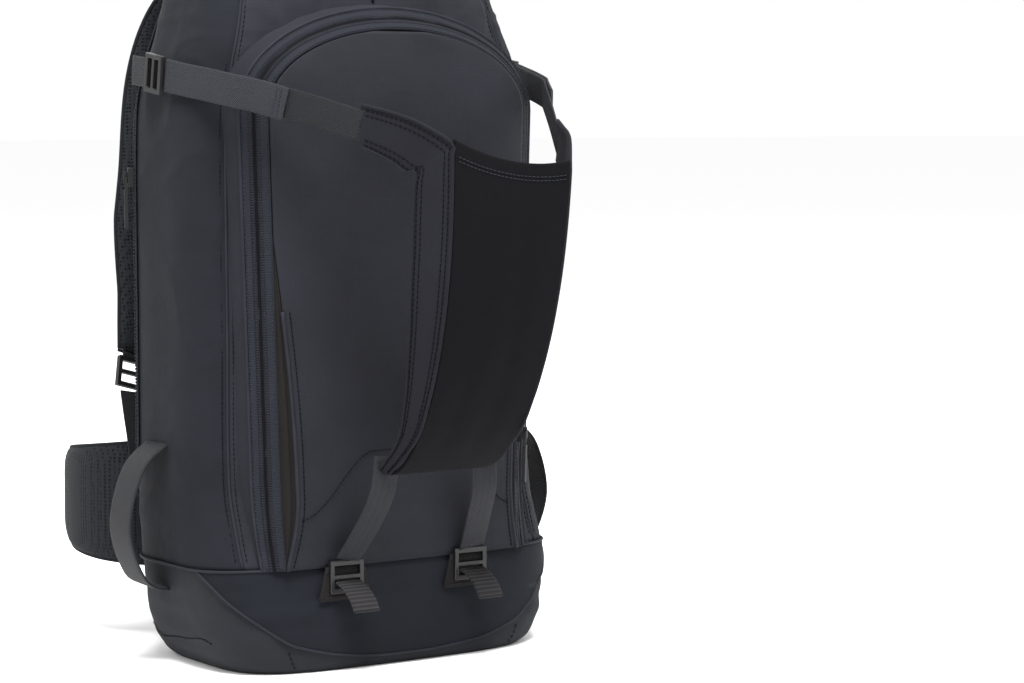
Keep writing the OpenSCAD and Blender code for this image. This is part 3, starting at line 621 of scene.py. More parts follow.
def outline(share, grow=0.0):
    """A point of the zip's outline, from the left foot over the arch to the right foot, moved out by grow."""
    d = share * OUTLINE
    leg = SPRING - LEG
    if d < leg:
        z = LEG + d
        return -(leg_x(z) + grow), z
    if d > OUTLINE - leg:
        z = LEG + (OUTLINE - d)
        return leg_x(z) + grow, z
    a = math.pi * (1 - (d - leg) / ARCH_LONG)
    return (ZIP_HALF + grow) * math.cos(a), SPRING + (RISE + grow) * math.sin(a)


def band_y(z, grow):
    """Depth of the zip band at height z, grow from its middle line."""
    outer, inner = -62 - 10.5 * foot(z), -75.5 - 5 * foot(z)
    return outer + (inner - outer) * clamp((BAND - grow) / (2 * BAND))


def on_band(share, grow, lift=0.0):
    """A point on the zip band's outer face."""
    x, z = outline(share, grow)
    y = band_y(z, grow)
    mx, mz = outline(share, grow + 1)
    way = Vector((mx - x, 0, mz - z)).normalized()
    out = (way * 0.7 + Vector((0, -0.7, 0))).normalized()
    return Vector((x, y, z)) + out * lift, out


def panel_edge(share, ease_in=0.0):
    """The front panel's edge: inside the zip band, further in where the bellows stands open."""
    x, z = outline(share, -INSET)
    open_by = bellows_open(z)
    if abs(x) > 60 and z < SPRING:
        x = math.copysign(abs(x) - 8 * open_by - ease_in, x)
    elif ease_in:
        k = (PANEL_HALF - ease_in) / PANEL_HALF
        x, z = x * k, SPRING + (z - SPRING) * k
    return Vector((x, -76 - 5 * foot(z) - 7 * open_by, z))


def half_width_at(z):
    """Half the front panel's width at height z."""
    if z < SPRING:
        return leg_x(z) - INSET - 8 * bellows_open(z)
    return PANEL_HALF * math.sqrt(max(0.0, 1 - ((z - SPRING) / PANEL_RISE) ** 2))


def panel_face(u, z):
    """The front panel's soft crowned face; u runs from -1 to 1 across it."""
    v = (math.sin(math.radians(90 * clamp((z - 70) / 110)))
         * math.sin(math.radians(90 * clamp((431 - z) / 70))))
    edge = -76 - 5 * foot(z) - 7 * bellows_open(z)
    x = u * half_width_at(z)
    return Vector((x, edge - 10 * (1 - abs(u) ** 4) * v, z))


def main_zip_place(s):
    """Plan angle and height along the main zip, from the left side over the top to the right side."""
    left = s <= 0.5
    k = (s if left else 1 - s) / 0.5
    if k < 0.56:
        a, z = 160.0, 140 + 220 * k / 0.56
    else:
        k = (k - 0.56) / 0.44
        a, z = 160 - 70 * k**1.3, 360 + 140 * math.sin(math.pi / 2 * k)
    return (a, z) if left else (180 - a, z)


ZIP_LINE = [bag(*main_zip_place(i / 80)) for i in range(81)]


def free_of_zips(spot):
    """0 on the line of a zip, 1 where the cloth is free to crease."""
    near = min((spot - p).length for p in ZIP_LINE) if spot.z > 120 and spot.y > -20 else 99.0
    if spot.y < 10 and spot.z > 460:
        near = min(near, math.hypot(spot.z - 492, max(0, abs(spot.x) - 58)))
    return ease((near - 9) / 14)


def body_skin(a, z, lift=1.2, seed=0.0, calm=1.0):
    """The upper cloth, with its slack: calmer near the seam at the bottom."""
    spot = bag(a, z)
    out = bag_out(a, min(z, 528))
    hold = ease((z - SEAM) / 30) * (0.75 + 0.5 * ease((z - 400) / 60)) * calm
    hold *= free_of_zips(spot)
    pucker = math.exp(-((z - 448 + 0.003 * spot.x**2) / 22) ** 2) if spot.y < 0 and z > 380 else 0.0
    gather = 0.9 * pucker * noise.noise(Vector((spot.x / 13, spot.z / 60, seed)))
    return spot + out * (lift + hold * (creases(spot.x, spot.y, spot.z, seed) + gather))


def cup_skin(a, z, lift, seed):
    """The base cloth, wrinkled between its seam and the floor."""
    spot = bag(a, z)
    out = bag_out(a, max(z, 2))
    slack = math.sin(math.pi * clamp((z - 4) / 64))
    wrinkle = noise.noise(Vector((spot.x / 60 + seed, spot.y / 60, spot.z / 9))) * 1.1 \
        + noise.noise(Vector((spot.x / 24, spot.y / 24 + seed, spot.z / 12))) * 0.5
    return spot + out * (lift + slack * wrinkle)


def build_cup():
    """The base cup in grey heathered cloth, and the navy skirt over it with its bound lower edge."""
    def cup(u, v):
        a = 360 * u
        z = SEAM * v
        low = ease(clamp(z / 14))
        p = cup_skin(a, max(z, 0.2), 0.6, 3.0)
        return p.x, p.y, p.z * (0.3 + 0.7 * low) if z < 2 else p.z
    base = panel("base_cup", cup, 220, 34, (790, 70), thick=1.4, ring=True)
    dress(base, base_polyester, stands_for=("base_rim",))

    def floor(u, v):
        a = 360 * u
        p = bag(a, 0.4)
        k = v ** 0.9
        return p.x * k, 5 + (p.y - 5) * k, 0.9 - 0.5 * (k > 0.98)
    dress(panel("base_floor", floor, 96, 12, (790, 100), thick=1.2, ring=True), base_polyester,
          stands_for=("base_panel",))

    def skirt(u, v):
        turn = -76 + 152 * u
        a = 270 + turn
        low = skirt_edge(abs(turn))
        z = low + (SEAM + 0.8 - low) * v
        return cup_skin(a, z, 1.9, 7.0)
    dress(panel("skirt", skirt, 130, 26, (330, 62), thick=1.1), skirt_nylon,
          stands_for=("lower_front_panel",))
    edge = [(cup_skin(270 + t, skirt_edge(abs(t)) + 0.6, 2.0, 7.0), bag_out(270 + t, 25))
            for t in range(-75, 76, 2)]
    piping("skirt_binding", run_of(edge), 0.9)
    flank = []
    for turn in (-1, 1):
        row = []
        for i in range(36):
            s = i / 35
            t = turn * (76 + 40 * s)
            row.append((cup_skin(270 + t, 20 + 3 * math.sin(9 * s), 0.9, 3.0), bag_out(270 + t, 24)))
        flank.append(run_of(row))
        row = [(cup_skin(270 + turn * 30, 4 + i * 1.6, 1.0, 3.0), bag_out(270 + turn * 30, 20))
               for i in range(9)]
        flank.append(run_of(row))
    stitches("base_stitches", flank, deep_thread, pitch=3.4, long=2.2)


def quarter(name, start, stop, finish, seed, nodes, columns=70):
    """One upper panel of the bag, between two plan angles, from the seam to the top."""
    def skin(u, v):
        a = start + (stop - start) * u
        z = SEAM + 0.8 + (528 - SEAM - 0.8) * v
        edge = min(u, 1 - u)
        calm = ease(edge / 0.06)
        p = body_skin(a, z, 1.1, seed, calm)
        return p - bag_out(a, min(z, 526)) * 0.9 * (1 - ease(edge / 0.018))
    piece = panel(name, skin, columns, 150, (abs(stop - start) * 2.2, 460), thick=1.2)
    return dress(piece, finish, stands_for=nodes)


def build_body():
    """Upper body: two side panels, the front quarters behind the zip, the back wall and the top."""
    quarter("left_side_panel", 135, 226, side_nylon, 1.0, ("left_side_panel",))
    quarter("right_side_panel", 314, 405, side_nylon, 2.0, ("right_side_panel",))
    quarter("front_upper", 225, 315, body_ripstop, 4.0, ("front_divider",), 84)
    quarter("back_wall", 45, 135, harness_nylon, 5.0, ("back_wall",))

    def crown(u, v):
        a = 360 * u
        z = 505 + 26.6 * v
        p = body_skin(a, z, 1.6, 4.0, 0.6)
        if v > 0.96:
            k = (1 - v) / 0.04
            q = Vector((0, 16, 533))
            return q.lerp(body_skin(a, 530.5, 1.6, 4.0, 0.6), k)
        return p
    dress(panel("top_cap", crown, 200, 26, (600, 60), thick=1.2, ring=True), body_ripstop,
          stands_for=("top_panel",))
    seams = []
    for a in (45, 135, 225, 315):
        row = [(body_skin(a, z, 0.9, 4.0, 0.0), bag_out(a, z)) for z in range(int(SEAM) + 2, 522, 6)]
        piping("corner_piping_%d" % a, run_of(row), 1.1)
        for shift in (-3.2, 3.2):
            row = [(body_skin(a + shift, z, 1.2, 4.0, 0.3), bag_out(a + shift, z))
                   for z in range(int(SEAM) + 6, 516, 8)]
            seams.append(run_of(row))
    stitches("corner_stitches", seams, deep_thread, pitch=3.4)
    row = [(body_skin(270, z, 1.7, 4.0, 1.0), bag_out(270, z)) for z in range(449, 524, 5)]
    piping("centre_seam", run_of(row), 1.0)
    ring = [(cup_skin(a, SEAM, 2.2, 7.0), bag_out(a, SEAM)) for a in range(0, 361, 3)]
    piping("waist_piping", run_of(ring), 1.0)


# ---------------------------------------------------------------- zips

def zip_ribs(name, path, count, tooth):
    """A zip's coil: one small bar across the path for each turn of the coil."""
    shape = bmesh.new()
    for i in range(count):
        place, out, along = path((i + 0.5) / count)
        bar(shape, place, along, along.cross(out), out, tooth)
    return dress(keep(name, shape), coil_nylon)


def build_front_zip():
    """The long zip round the front panel, on its slanted gusset, with piping outside it."""
    def gusset(u, v):
        """From the bag's front, out to the band's outer edge."""
        grow = BAND + 4.5 - 4.2 * v
        x, z = outline(u, grow)
        back = front_y(x, z) + 2.5
        near = band_y(z, BAND) + 0.8
        return x, back + (near - back) * v, z
    dress(panel("zip_gusset", gusset, 260, 6, (OUTLINE, 14), thick=0.9, core=(0, 300)), body_ripstop,
          stands_for=("front_gusset",))

    def tape(low, high, lift):
        def face(u, v):
            grow = low + (high - low) * v
            p, out = on_band(u, grow, lift)
            return p + out * 0.25 * noise.noise(Vector((u * 60, v * 2, low)))
        return face
    for name, low, high in (("zip_tape_outer", 0.3, BAND + 0.8), ("zip_tape_inner", -BAND - 0.6, -0.3)):
        piece = panel(name, tape(low, high, 0.9), 300, 5, (OUTLINE, 9), thick=0.7, core=(0, 300))
        uv = piece.data.uv_layers["cloth"]
        for item in uv.data:
            item.uv = (item.uv[1], item.uv[0])
        dress(piece, zip_tape, stands_for=("front_zip",) if low > 0 else ())

    def line(grow, lift):
        def read(share):
            p, out = on_band(share, grow, lift)
            q, _ = on_band(min(1, share + 0.001), grow, lift)
            r, _ = on_band(max(0, share - 0.001), grow, lift)
            along = (q - r).normalized()
            return p, (out - along * out.dot(along)).normalized(), along
        return read
    for name, offset in (("zip_ridge_outer", 2.0), ("zip_ridge_inner", -2.0)):
        zip_ribs(name, line(offset, 0.95), 520, (0.9, 2.4, 0.7))
    # Painted shade: a near-black strip laid in the gap between the two rows of coil.
    dark = panel("zip_gap_shade", lambda u, v: on_band(u, -0.8 + 1.6 * v, 1.0)[0], 300, 1, (OUTLINE, 1.6), thick=0,
                 core=(0, 300))
    dress(dark, deep_thread)
    runs = []
    for grow in (BAND - 0.9, -BAND + 0.9):
        runs.append(run_of([line(grow, 1.0)(i / 160)[:2] for i in range(161)]))
    stitches("zip_stitches", runs, pitch=2.8, long=2.0, wide=0.5)
    piping("outer_piping", run_of([line(BAND + 0.6, 0.5)(i / 160)[:2] for i in range(161)]), 1.3)


def build_bellows():
    """The brown-black bellows cloth between the zip and the front panel, with its folds."""
    def face(u, v):
        x, z = outline(u, -BAND - 0.2)
        start = Vector((x, band_y(z, -BAND) - 0.3, z))
        end = panel_edge(u) + Vector((0, 0.6, 0))
        open_by = bellows_open(z)
        p = start.lerp(end, v)
        fold = math.sin(v * math.pi * 3) * 1.1 * open_by
        return p + Vector((0, fold, 0)) + Vector((0, 0.5, 0)) * math.sin(math.pi * v)
    dress(panel("bellows", face, 260, 14, (OUTLINE, 14), thick=0.7, core=(0, 300)), bellows_cloth,
          stands_for=("front_bellows",))


def build_front_panel():
    """The crowned front panel, with piping and a row of stitches up each side and its low seam."""
    foot_z = SEAM + 0.8

    def face(u, v):
        z = foot_z + (PANEL_TOP - foot_z) * v
        c = 2 * u - 1
        p = panel_face(c, z)
        edge = min(1 - abs(c), v * 2, (1 - v) * 2)
        hold = ease(edge / 0.2)
        p.y -= 1.0 + hold * (0.9 * rough(p.x, 0, p.z, 70, 9.0) + 0.35 * rough(p.x, 0, p.z, 24, 4.0))
        return p
    dress(panel("front_panel", face, 90, 150, (200, 365), thick=1.2, core=(0, 300)), body_ripstop,
          stands_for=("front_panel",))
    rim, row = [], []
    for i in range(181):
        s = i / 180
        p = panel_edge(s)
        rim.append(p + Vector((0, -0.6, 0)))
        q = panel_edge(s, 4.0)
        q.z = max(q.z, 72)
        half = max(half_width_at(min(q.z, 428)), 1)
        c = clamp(q.x / half, -1, 1)
        f = panel_face(c, min(q.z, 428))
        row.append(Vector((q.x, f.y - 1.3, q.z)))
    front = Vector((0, -1, 0))
    for side, part in (("left", slice(0, 36)), ("right", slice(145, 181))):
        piping("front_panel_piping_" + side, Run(rim[part], front), 1.4)
        stitches("front_panel_stitches_" + side, [Run(row[part], front)], deep_thread, pitch=3.0, long=2.1)
    seam = []
    for i in range(61):
        c = -0.97 + 1.94 * i / 60
        seam.append(panel_face(c, 104 + 44 * ease((0.97 - abs(c)) / 0.6)) + Vector((0, -1.3, 0)))
    stitches("front_panel_low_seam", [Run(seam, front)], deep_thread, pitch=3.0, long=2.1)


def plan_zip(node, pairs, coils):
    """A zip laid on the cloth: its tape, two rows of coil and two rows of stitches."""
    run = run_of(pairs)
    tape_wide = 19.0

    def face(u, v):
        place, along, side, out = run.at(v)
        x = (u - 0.5) * tape_wide
        return place + side * x + out * (1.5 + 0.3 * (abs(x) < 4))
    piece = panel(node + "_tape", face, 12, int(run.length / 5), (tape_wide, run.length), thick=0.7)
    dress(piece, zip_tape, stands_for=(node,))

    def line(offset):
        def read(share):
            place, along, side, out = run.at(share)
            return place + side * offset + out * 2.1, out, along
        return read
    for k, offset in (("a", -1.7), ("b", 1.7)):
        zip_ribs(node + "_coil_" + k, line(offset), coils, (1.1, 2.6, 1.3))
    rows = []
    for offset in (-tape_wide / 2 + 2.2, tape_wide / 2 - 2.2):
        places = [run.at(i / 60) for i in range(61)]
        rows.append(run_of([(p + s * offset + o * 1.6, o) for p, w, s, o in places]))
    stitches(node + "_stitches", rows, pitch=2.9, long=2.0, wide=0.5)


def build_small_zips():
    """The lid's zip across the top of the front, and the main zip over the back."""
    low, high = corners("lid_zip")
    lid_z = 492
    pairs = []
    for i in range(25):
        x = low[0] + (high[0] - low[0]) * i / 24
        c = clamp(x / section(lid_z, 1), -1, 1)
        turn = math.degrees(math.asin(math.copysign(abs(c) ** 2, c)))
        pairs.append((Vector((x, front_y(x, lid_z), lid_z)), bag_out(270 + turn, lid_z)))
    plan_zip("lid_zip", pairs, 70)
    places = [main_zip_place(i / 100) for i in range(101)]
    plan_zip("main_zip", [(bag(a, z, 0.4), bag_out(a, z)) for a, z in places], 380)


# ---------------------------------------------------------------- harness

def side_of(points, s):
    """Points given for the right side, on the side s."""
    return [Vector((s * p[0], p[1], p[2])) for p in points]


def cushion(name, run, wide, thick, nodes):
    """A padded strap: a closed tube along a run, puffed in the middle, flat at its bound edges."""
    shape = bmesh.new()
    bmesh.ops.create_grid(shape, x_segments=40, y_segments=max(20, int(run.length / 5)), size=0.5)
    cloth = shape.loops.layers.uv.new("cloth")
    share = {v: (v.co.x + 0.5, v.co.y + 0.5) for v in shape.verts}

    def edge(u, v):
        end = ease(min(v, 1 - v) / 0.05)
        a = 2 * math.pi * u
        x = math.copysign(abs(math.cos(a)) ** 0.6, math.cos(a))
        fat = (thick / 2 - 1.0) * (0.35 + 0.65 * end) * (1 - abs(x) ** 6) + 0.9
        y = math.copysign(1, math.sin(a)) * fat * min(1, abs(math.sin(a)) * 2.5)
        return x * wide(v) / 2, y
    for face in shape.faces:
        for loop in face.loops:
            u, v = share[loop.vert]
            loop[cloth].uv = (edge(u, v)[0] * MM, v * run.length * MM)
    for vert, (u, v) in share.items():
        place, along, side, out = run.at(v)
        x, y = edge(u, v)
        wob = 0.35 * rough(place.x + x, place.y, place.z, 22, 2.0)
        vert.co = (place + side * x + out * (y + math.copysign(wob, y))) * MM
    close_up(shape)
    piece = keep(name, shape)
    dress(piece, spacer_mesh, stands_for=nodes)
    for k, x in (("left", -0.5), ("right", 0.5)):
        pairs = []
        for i in range(61):
            place, along, side, out = run.at(i / 60)
            pairs.append((place + side * (x * wide(i / 60) - math.copysign(0.6, x)), out))
        piping(name + "_binding_" + k, run_of(pairs), 1.6, harness_nylon)


def pad(name, low, high, nodes):
    """A back pad: foam under spacer mesh, soft at its edges and grooved across."""
    lo, hi = Vector(low), Vector(high)
    centre = (lo + hi) / 2
    half = (hi - lo) / 2
    shape = bmesh.new()
    bmesh.ops.create_grid(shape, x_segments=40, y_segments=90, size=0.5)
    cloth = shape.loops.layers.uv.new("cloth")
    for v in shape.verts:
        a, b = v.co.x * 2, v.co.y * 2
        x, z = a * half.x, b * half.z
        edge = min((1 - abs(a)) * half.x, (1 - abs(b)) * half.z)
        puff = math.sqrt(clamp(1 - (1 - clamp(edge / 9)) ** 2))
        row = abs(((z + half.z) / 46) % 1 - 0.5) * 2
        groove = 1 - 0.45 * ease(1 - row / 0.16) if edge > 6 else 1
        depth = (hi.y - lo.y - 1.5) * puff * groove
        corner = max(0, math.hypot(max(0, abs(x) - half.x + 14), max(0, abs(z) - half.z + 14)) - 14)
        v.co = Vector((centre.x + x - math.copysign(corner * 0.7, x),
                       lo.y + 0.8 + depth + 0.3 * rough(x, 0, z, 20, 5.0),
                       centre.z + z - math.copysign(corner * 0.7, z))) * MM
    for f in shape.faces:
        for loop in f.loops:
            loop[cloth].uv = (loop.vert.co.x, loop.vert.co.z)
    back = bmesh.ops.extrude_edge_only(shape, edges=[e for e in shape.edges if e.is_boundary])
    for v in [g for g in back["geom"] if isinstance(g, bmesh.types.BMVert)]:
        v.co.y = (lo.y + 0.1) * MM
    bmesh.ops.holes_fill(shape, edges=[e for e in shape.edges if e.is_boundary], sides=0)
    bmesh.ops.recalc_face_normals(shape, faces=shape.faces)
    piece = keep(name, shape)
    dress(piece, spacer_mesh, stands_for=nodes)
    ring = []
    for i in range(97):
        t = 2 * math.pi * i / 96
        x = math.copysign(abs(math.cos(t)) ** 0.28, math.cos(t))
        z = math.copysign(abs(math.sin(t)) ** 0.16, math.sin(t))
        ring.append(Vector((centre.x + x * (half.x - 1.2), lo.y + 1.6, centre.z + z * (half.z - 1.2))))
    piping(name + "_binding", Run(ring, Vector((0, 1, 0))), 1.5, harness_nylon)


# The right shoulder strap's middle line and its directions out, and the right hip wing's line from above.
STRAP = ((46, 68.5, 450), (47, 90, 460), (50, 114, 458), (56, 132, 430), (63, 138, 390), (70, 138, 330),
         (84, 130, 276), (98, 116, 230), (106, 107, 204))
STRAP_OUT = ((0, -0.4, 1), (0, 0, 1), (0, 0.6, 0.8), (0, 1, 0.3), (0, 1, 0), (0.05, 1, -0.1),
             (0.1, 1, -0.3), (0.12, 1, -0.3), (0.12, 1, -0.3))
WING = ((68, 89.4), (90, 91), (112, 99), (130, 121), (133, 150), (121, 178), (98, 197), (72, 205))


def strap_wide(v):
    """A shoulder strap's width along its length, widest at the shoulder."""
    return 50 + 16 * math.sin(math.pi * min(1, v * 1.15)) - 22 * max(0, v - 0.7) / 0.3


def wing_high(v):
    """A hip wing's height, falling towards its tip."""
    return 92 - 44 * v ** 1.5


def build_shoulder_strap(side, s):
    """A shoulder strap with its facing, its load lifter, and the webbing and tip below it."""
    run = Run(smooth_run(side_of(STRAP, s)), smooth_run(side_of(STRAP_OUT, s)))
    cushion("shoulder_strap_" + side, run, strap_wide, 12, ("shoulder_strap_" + side,))
    start = int(len(run.points) * 0.42)
    facing = raised(run.points[start:], run.outs[start:], 6.5)
    dress(webbing("strap_facing_" + side, facing, 22, 1.6), strap_plain)
    path = smooth_run(side_of(((48, 63.5, 490), (49, 90, 481), (51, 112, 471), (53, 124, 462)), s), 6)
    outs = smooth_run(((0, 0.2, 1), (0, 0.3, 1), (0, 0.5, 1), (0, 0.7, 0.7)), 6)
    lifter = Run([p + o * 0.8 for p, o in zip(path, outs)], outs)
    paired(webbing("load_lifter_" + side, lifter, 15, 1.6), strap_plain, s, "load_lifters")
    path = side_of(((113.9, 98.4, 177), (116.3, 88.5, 152), (120, 75, 122), (119.5, 62.5, 92),
                    (117.8, 58.4, 62)), s)
    outs = side_of(((0.2, 1, 0.3), (0.3, 1, 0.3), (0.5, 1, 0.2), (0.7, 0.7, 0), (0.7, 0.7, 0)), s)
    low = raised(smooth_run(path, 6), smooth_run(outs, 6), 0.8)
    paired(webbing("strap_webbing_" + side, low, 20, 1.6), strap_plain, s, "lower_webbings")
    tip = side_of(((101, 113, 220), (105.5, 107.8, 206), (108.2, 104.6, 198)), s)
    dress(webbing("strap_tip_" + side, Run(tip, Vector((s * 0.12, 1, -0.3))), 20, 2.0), strap_plain)


def build_hip_wing(side, s):
    """A padded hip wing and the webbing facing sewn along it."""
    flat = smooth_run([(s * p[0], p[1], 98) for p in WING])
    outs = []
    for i in range(len(flat)):
        way = (flat[min(i + 1, len(flat) - 1)] - flat[max(i - 1, 0)]).normalized()
        outs.append(-way.cross(Vector((0, 0, s))))
    cushion("hip_wing_" + side, Run(flat, outs), wing_high, 11, ("hip_wing_" + side,))
    line = Run([p + o * 6.0 for p, o in zip(flat, outs)][6:-9], outs[6:-9])
    dress(webbing("hip_facing_" + side, line, 38, 1.4), strap_plain)


def build_flat_webbing(node, body):
    """A straight belt webbing that fills its node's own box."""
    low, high = corners(node)
    y, z = (low[1] + high[1]) / 2, (low[2] + high[2]) / 2
    run = Run([(x, y, z) for x in (low[0], (low[0] + high[0]) / 2, high[0])], Vector((0, 1, 0)))
    dress(webbing(node, run, high[2] - low[2], high[1] - low[1]), strap_plain, body, (node,))


def build_harness():
    """Back pads, shoulder straps, hip belt, sternum strap, grab handle and ski loops."""
    low, high = corners("back_pads")
    pad_wide = 68
    for side, s in SIDES:
        left = low[0] if s < 0 else high[0] - pad_wide
        pad("back_pad_" + side, (left, *low[1:]), (left + pad_wide, *high[1:]),
            ("back_pads",) if s > 0 else ())
        build_shoulder_strap(side, s)
        build_hip_wing(side, s)
    pad("lumbar_pad", *corners("lumbar_pad"), ("lumbar_pad",))
    path = smooth_run(((-120, 189.5, 98), (-100, 204.4, 98), (-76, 213.4, 98), (-60, 214, 98),
                       (-46.4, 214, 98)), 5)
    dress(webbing("hip_webbing_left", Run(path, Vector((-0.3, 1, 0))), 38, 1.6), strap_plain,
          stands_for=("hip_webbing_left",))
    build_flat_webbing("hip_webbing_right", "hip_belt_end")
    build_flat_webbing("sternum_webbing_left", "sternum_strap")
    build_flat_webbing("sternum_webbing_right", "sternum_strap_end")
    line = smooth_run(((-33, 70.6, 480), (-32, 71, 508), (-22, 72, 536), (0, 72, 548), (22, 72, 536),
                       (32, 71, 508), (33, 70.6, 480)))
    n = len(line) - 1
    outs = [Vector((-math.cos(math.pi * i / n), 0, math.sin(math.pi * i / n))) for i in range(n + 1)]
    dress(webbing("grab_handle", raised(line, outs, 1.2), 25, 2.4), strap_herringbone,
          stands_for=("grab_handle",))
    for side, s in SIDES:
        line = smooth_run(side_of(((141, 10, 54), (158, 8, 62), (170, 6, 96), (160, 6, 134),
                                   (141, 8, 150)), s))
        n = len(line) - 1
        outs = [Vector((s * (0.3 + math.sin(math.pi * i / n)), 0, -math.cos(math.pi * i / n)))
                for i in range(n + 1)]
        paired(webbing("ski_loop_" + side, raised(line, outs, 1.1), 30, 2.2), strap_plain, s, "ski_loops")


# ---------------------------------------------------------------- helmet sling

LEAN = 4.5
# The side webbing's line and its directions out, from the wing to the upper tab.
SIDE_LINE = ((77.2, -150.6, 360.5), (97, -115.2, 374.5), (116.5, -80.4, 386), (122, -71, 388),
             (129, -50, 392), (136, -26, 396), (139.5, -10, 399))
SIDE_OUT = ((0.87, -0.49, 0), (0.87, -0.49, 0), (0.9, -0.44, 0), (0.95, -0.3, 0), (0.96, -0.27, 0),
            (0.97, -0.22, 0), (1, -0.1, 0))


def sling_y(t):
    """How far forward the sling's centre panel stands, at a share t of its height."""
    return -122 - 81 * math.sin(math.radians(90 * max(t, 0) ** 0.6))


def sling_face(u, t):
    """The sling's centre panel; u runs from -1 to 1 across it and t from 0 to 1 up it."""
    x = u * (45 - 7 * (1 - t))
    return Vector((x + LEAN * t, sling_y(t) - 3 * (1 - u * u) * math.sin(math.pi * t),
                   135 + 215 * t - 7 * (1 - u * u) * t**3 - 7 * x / 45 * t))


def wing_edge(s):
    """The wing's outer edge, from the side webbing round the corner and down the centre panel's side."""
    points = [Vector((s * x + LEAN * k, y, z - s * 5)) for x, y, z, k in
              ((77, -151, 374, 0), (68, -167, 369.5, 0.4), (59, -184, 363, 0.8))]
    points.append(Vector((s * 45.9 + LEAN, sling_y(1) + 1.4, 348.5 - s * 7)))
    for t in (0.965, 0.93, 0.88, 0.8, 0.7, 0.6, 0.48, 0.36, 0.24, 0.12, 0):
        p = sling_face(s, t)
        points.append(p + Vector((s * 0.7, 0.4, 0)))
    return points


def wing_hem(s):
    """The wing's free hem, from the side webbing down to the foot, narrowing as it goes."""
    points = [Vector((s * x + LEAN * k, y, z - s * 5)) for x, y, z, k in
              ((77, -151, 347, 0), (71, -160, 342, 0.3), (66, -168, 336.5, 0.7), (62.5, -174, 331, 1))]
    for t, w in ((0.91, 26.5), (0.87, 27.5), (0.82, 28), (0.76, 28), (0.68, 27.5), (0.59, 27),
                 (0.48, 25), (0.36, 22), (0.24, 18), (0.12, 14), (0, 10)):
        points.append(sling_face(s, t) + Vector((s * w * 0.52, w * 0.85, 0)))
    return points


def build_sling_panel():
    """The sling's centre panel with its hem stitched twice."""
    def centre(u, v):
        c, t = 2 * u - 1, v
        p = sling_face(c, t)
        fold = math.exp(-((c - 0.25) / 0.22) ** 2) * 1.2 + math.exp(-((c + 0.45) / 0.18) ** 2) * 0.9
        slack = ease(t / 0.15) * ease((1 - abs(c)) / 0.2)
        sag = (0.8 * fold + 0.5 * rough(p.x, 0, p.z, 34, 6.0)) * slack * (1 - 0.5 * t)
        return p + Vector((0, sag - 0.8, 0))
    flap = panel("sling_panel", centre, 60, 120, (90, 262), thick=2.4, core=(0, 300))
    dress(flap, sling_softshell, stands_for=("sling_panel",))
    rows = [Run([centre(i / 40, 1 - d / 215) + Vector((0, -0.2, 0)) for i in range(1, 40)],
                Vector((0, -1, 0.1))) for d in (9.5, 12.2)]
    stitches("sling_hem_stitches", rows, thread, pitch=3.0, long=2.0, lift=0.0)


def build_wing(side, s):
    """One wing of the sling: a band of stretch cloth with four rows of stitches and rolled edges."""
    top, low = smooth_run(wing_edge(s), 6), smooth_run(wing_hem(s), 6)
    out = Vector((s * 0.85, -0.52, 0))

    def wing(u, v):
        k = u * (len(top) - 1)
        i = min(int(k), len(top) - 2)
        p = top[i].lerp(top[i + 1], k - i).lerp(low[i].lerp(low[i + 1], k - i), v)
        hold = math.sin(math.pi * clamp(v)) ** 0.7
        return p + out * (0.6 + hold * (0.8 + 0.5 * rough(p.x, p.y, p.z, 22, 3.0 + s)))
    piece = panel("sling_wing_" + side, wing, 130, 16, (285, 29), thick=1.6, core=(0, -100))
    dress(piece, wing_softshell, stands_for=("sling_wing_" + side,))
    rows = []
    for v in (0.10, 0.22, 0.80, 0.92):
        rows.append(Run([wing(i / 120, v) + out * 0.25 for i in range(2, 120)], out))
    stitches("wing_stitches_" + side, rows, deep_thread, pitch=3.4, long=2.3, lift=0.0)
    for name, v, radius in (("wing_edge_", 0.005, 1.2), ("wing_hem_", 0.995, 1.1)):
        piping(name + side, Run([wing(i / 120, v) for i in range(121)], out), radius, wing_softshell)


def build_side_webbing(side, s):
    """The webbing from a wing to its upper ladderlock, and the return doubled back over it."""
    line = [Vector((s * p[0], p[1], p[2] - (s * 5 if p[0] < 90 else s * 2.5 if p[0] < 100 else 0)))
            for p in SIDE_LINE]
    run = raised(smooth_run(line, 6), smooth_run(side_of(SIDE_OUT, s), 6), 0.6)
    paired(webbing("sling_webbing_" + side, run, 20, 1.6), strap_plain, s, "sling_webbings")
    back = smooth_run(side_of(((103.5, -103.5, 379.5),) + SIDE_LINE[2:], s), 6)
    doubled = raised(back, smooth_run(side_of(SIDE_OUT[1:], s), 6), 2.8)
    paired(webbing("sling_return_" + side, doubled, 22, 1.6), return_twill, s, "sling_returns")
    hem = []
    for d in (4.5, 8.0):
        place, along, across, out = doubled.at(d / doubled.length)
        hem.append(Run([place + across * x + out * 0.9 for x in range(-9, 10, 2)], out))
    stitches("return_stitches_" + side, hem, thread, pitch=2.6, long=1.9)


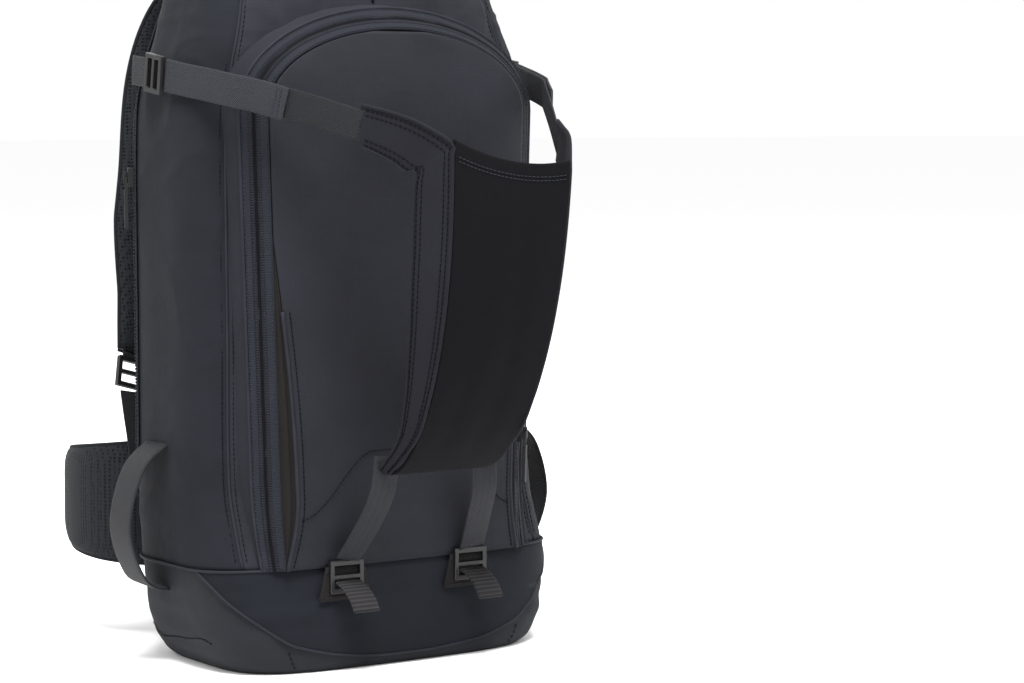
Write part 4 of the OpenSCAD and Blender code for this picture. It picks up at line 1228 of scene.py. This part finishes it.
def build_lower_webbing(side, s):
    """The webbing from the sling's foot down to its ladderlock, its free tail, and the sewn tabs."""
    tuck = smooth_run(side_of(((38, -118.8, 147), (41, -117, 122), (45, -104, 98), (50, -88.6, 76)), s), 6)
    paired(webbing("sling_lower_webbing_" + side, Run(tuck, Vector((0, -1, -0.4))), 20, 1.6),
           strap_herringbone, s, "sling_lower_webbings")
    lock_x = s * 50
    tail = smooth_run([(lock_x, y, z) for y, z in ((-88.6, 60), (-97, 57), (-106, 51), (-112, 43))], 6)
    tail_out = Vector((0, -0.6, 1)).normalized()
    tail_run = Run([p + tail_out * 0.8 for p in tail], tail_out)
    dress(webbing("sling_tail_" + side, tail_run, 20, 1.6), tail_ribbed, side + "_tail",
          ("sling_tail_" + side,))
    front = Vector((0, -1, 0))
    flat_tab = Run([(lock_x, -84.6, 48), (lock_x, -84.6, 59), (lock_x, -84.2, 71)], front)
    paired(webbing("lock_tab_" + side, flat_tab, lambda v: 42 - 12 * v, 1.6), bellows_cloth, s, "sling_tabs")
    rows = [Run([(lock_x + x, -85.6, z) for x in range(-16, 17, 4)], front) for z in (50.5, 68)]
    stitches("lock_tab_stitches_" + side, rows, pitch=2.6, long=1.8, wide=0.5, lift=0.0)
    side_tab = Run([(s * 140.3, 40, 403), (s * 141.5, 28, 402), (s * 143.1, 14.6, 401)], Vector((s, 0, 0)))
    dress(webbing("side_tab_" + side, side_tab, 20, 1.6), strap_plain)


def build_sling():
    """The helmet sling: centre panel, wings and webbing."""
    build_sling_panel()
    for side, s in SIDES:
        build_wing(side, s)
        build_side_webbing(side, s)
        build_lower_webbing(side, s)


# ---------------------------------------------------------------- moulded parts

def build_hardware():
    """Buckles, sliders, rails and pulls in the shapes of the frame's own solids."""
    for node, body in (("strap_adjusters", "bag"), ("sternum_rails", "bag"),
                       ("sternum_sliders", "sternum_strap"), ("sternum_female", "sternum_strap"),
                       ("sternum_male", "sternum_strap_end"), ("hip_female", "bag"),
                       ("hip_male", "hip_belt_end"), ("sling_ladderlocks_upper", "bag"),
                       ("sling_ladderlocks_lower", "bag")):
        moulded(node, acetal, body, 0.45)
    for node, body in (("front_slider", "front_zip_slider"), ("lid_slider", "lid_zip_slider"),
                       ("main_slider_left", "left_zip_slider"), ("main_slider_right", "right_zip_slider")):
        moulded(node, slider_paint, body, 0.3)
    for node, body in (("front_pull", "front_zip_pull"), ("lid_pull", "lid_zip_pull"),
                       ("main_pull_left", "left_zip_pull"), ("main_pull_right", "right_zip_pull")):
        moulded(node, grip_rubber, body, 0.3)


def build_floor():
    """A wide sheet of white paper under the bag."""
    shape = bmesh.new()
    bmesh.ops.create_grid(shape, x_segments=1, y_segments=1, size=40)
    floor = keep("floor", shape)
    paper, _ = new_finish("white_paper", base_color=(0.97, 0.97, 0.97, 1), roughness=1.0,
                          specular_ior_level=0.0)
    floor.data.materials.append(paper)


place_camera()
place_lights()
build_cup()
build_body()
build_front_zip()
build_bellows()
build_front_panel()
build_small_zips()
build_harness()
build_sling()
build_hardware()
build_floor()
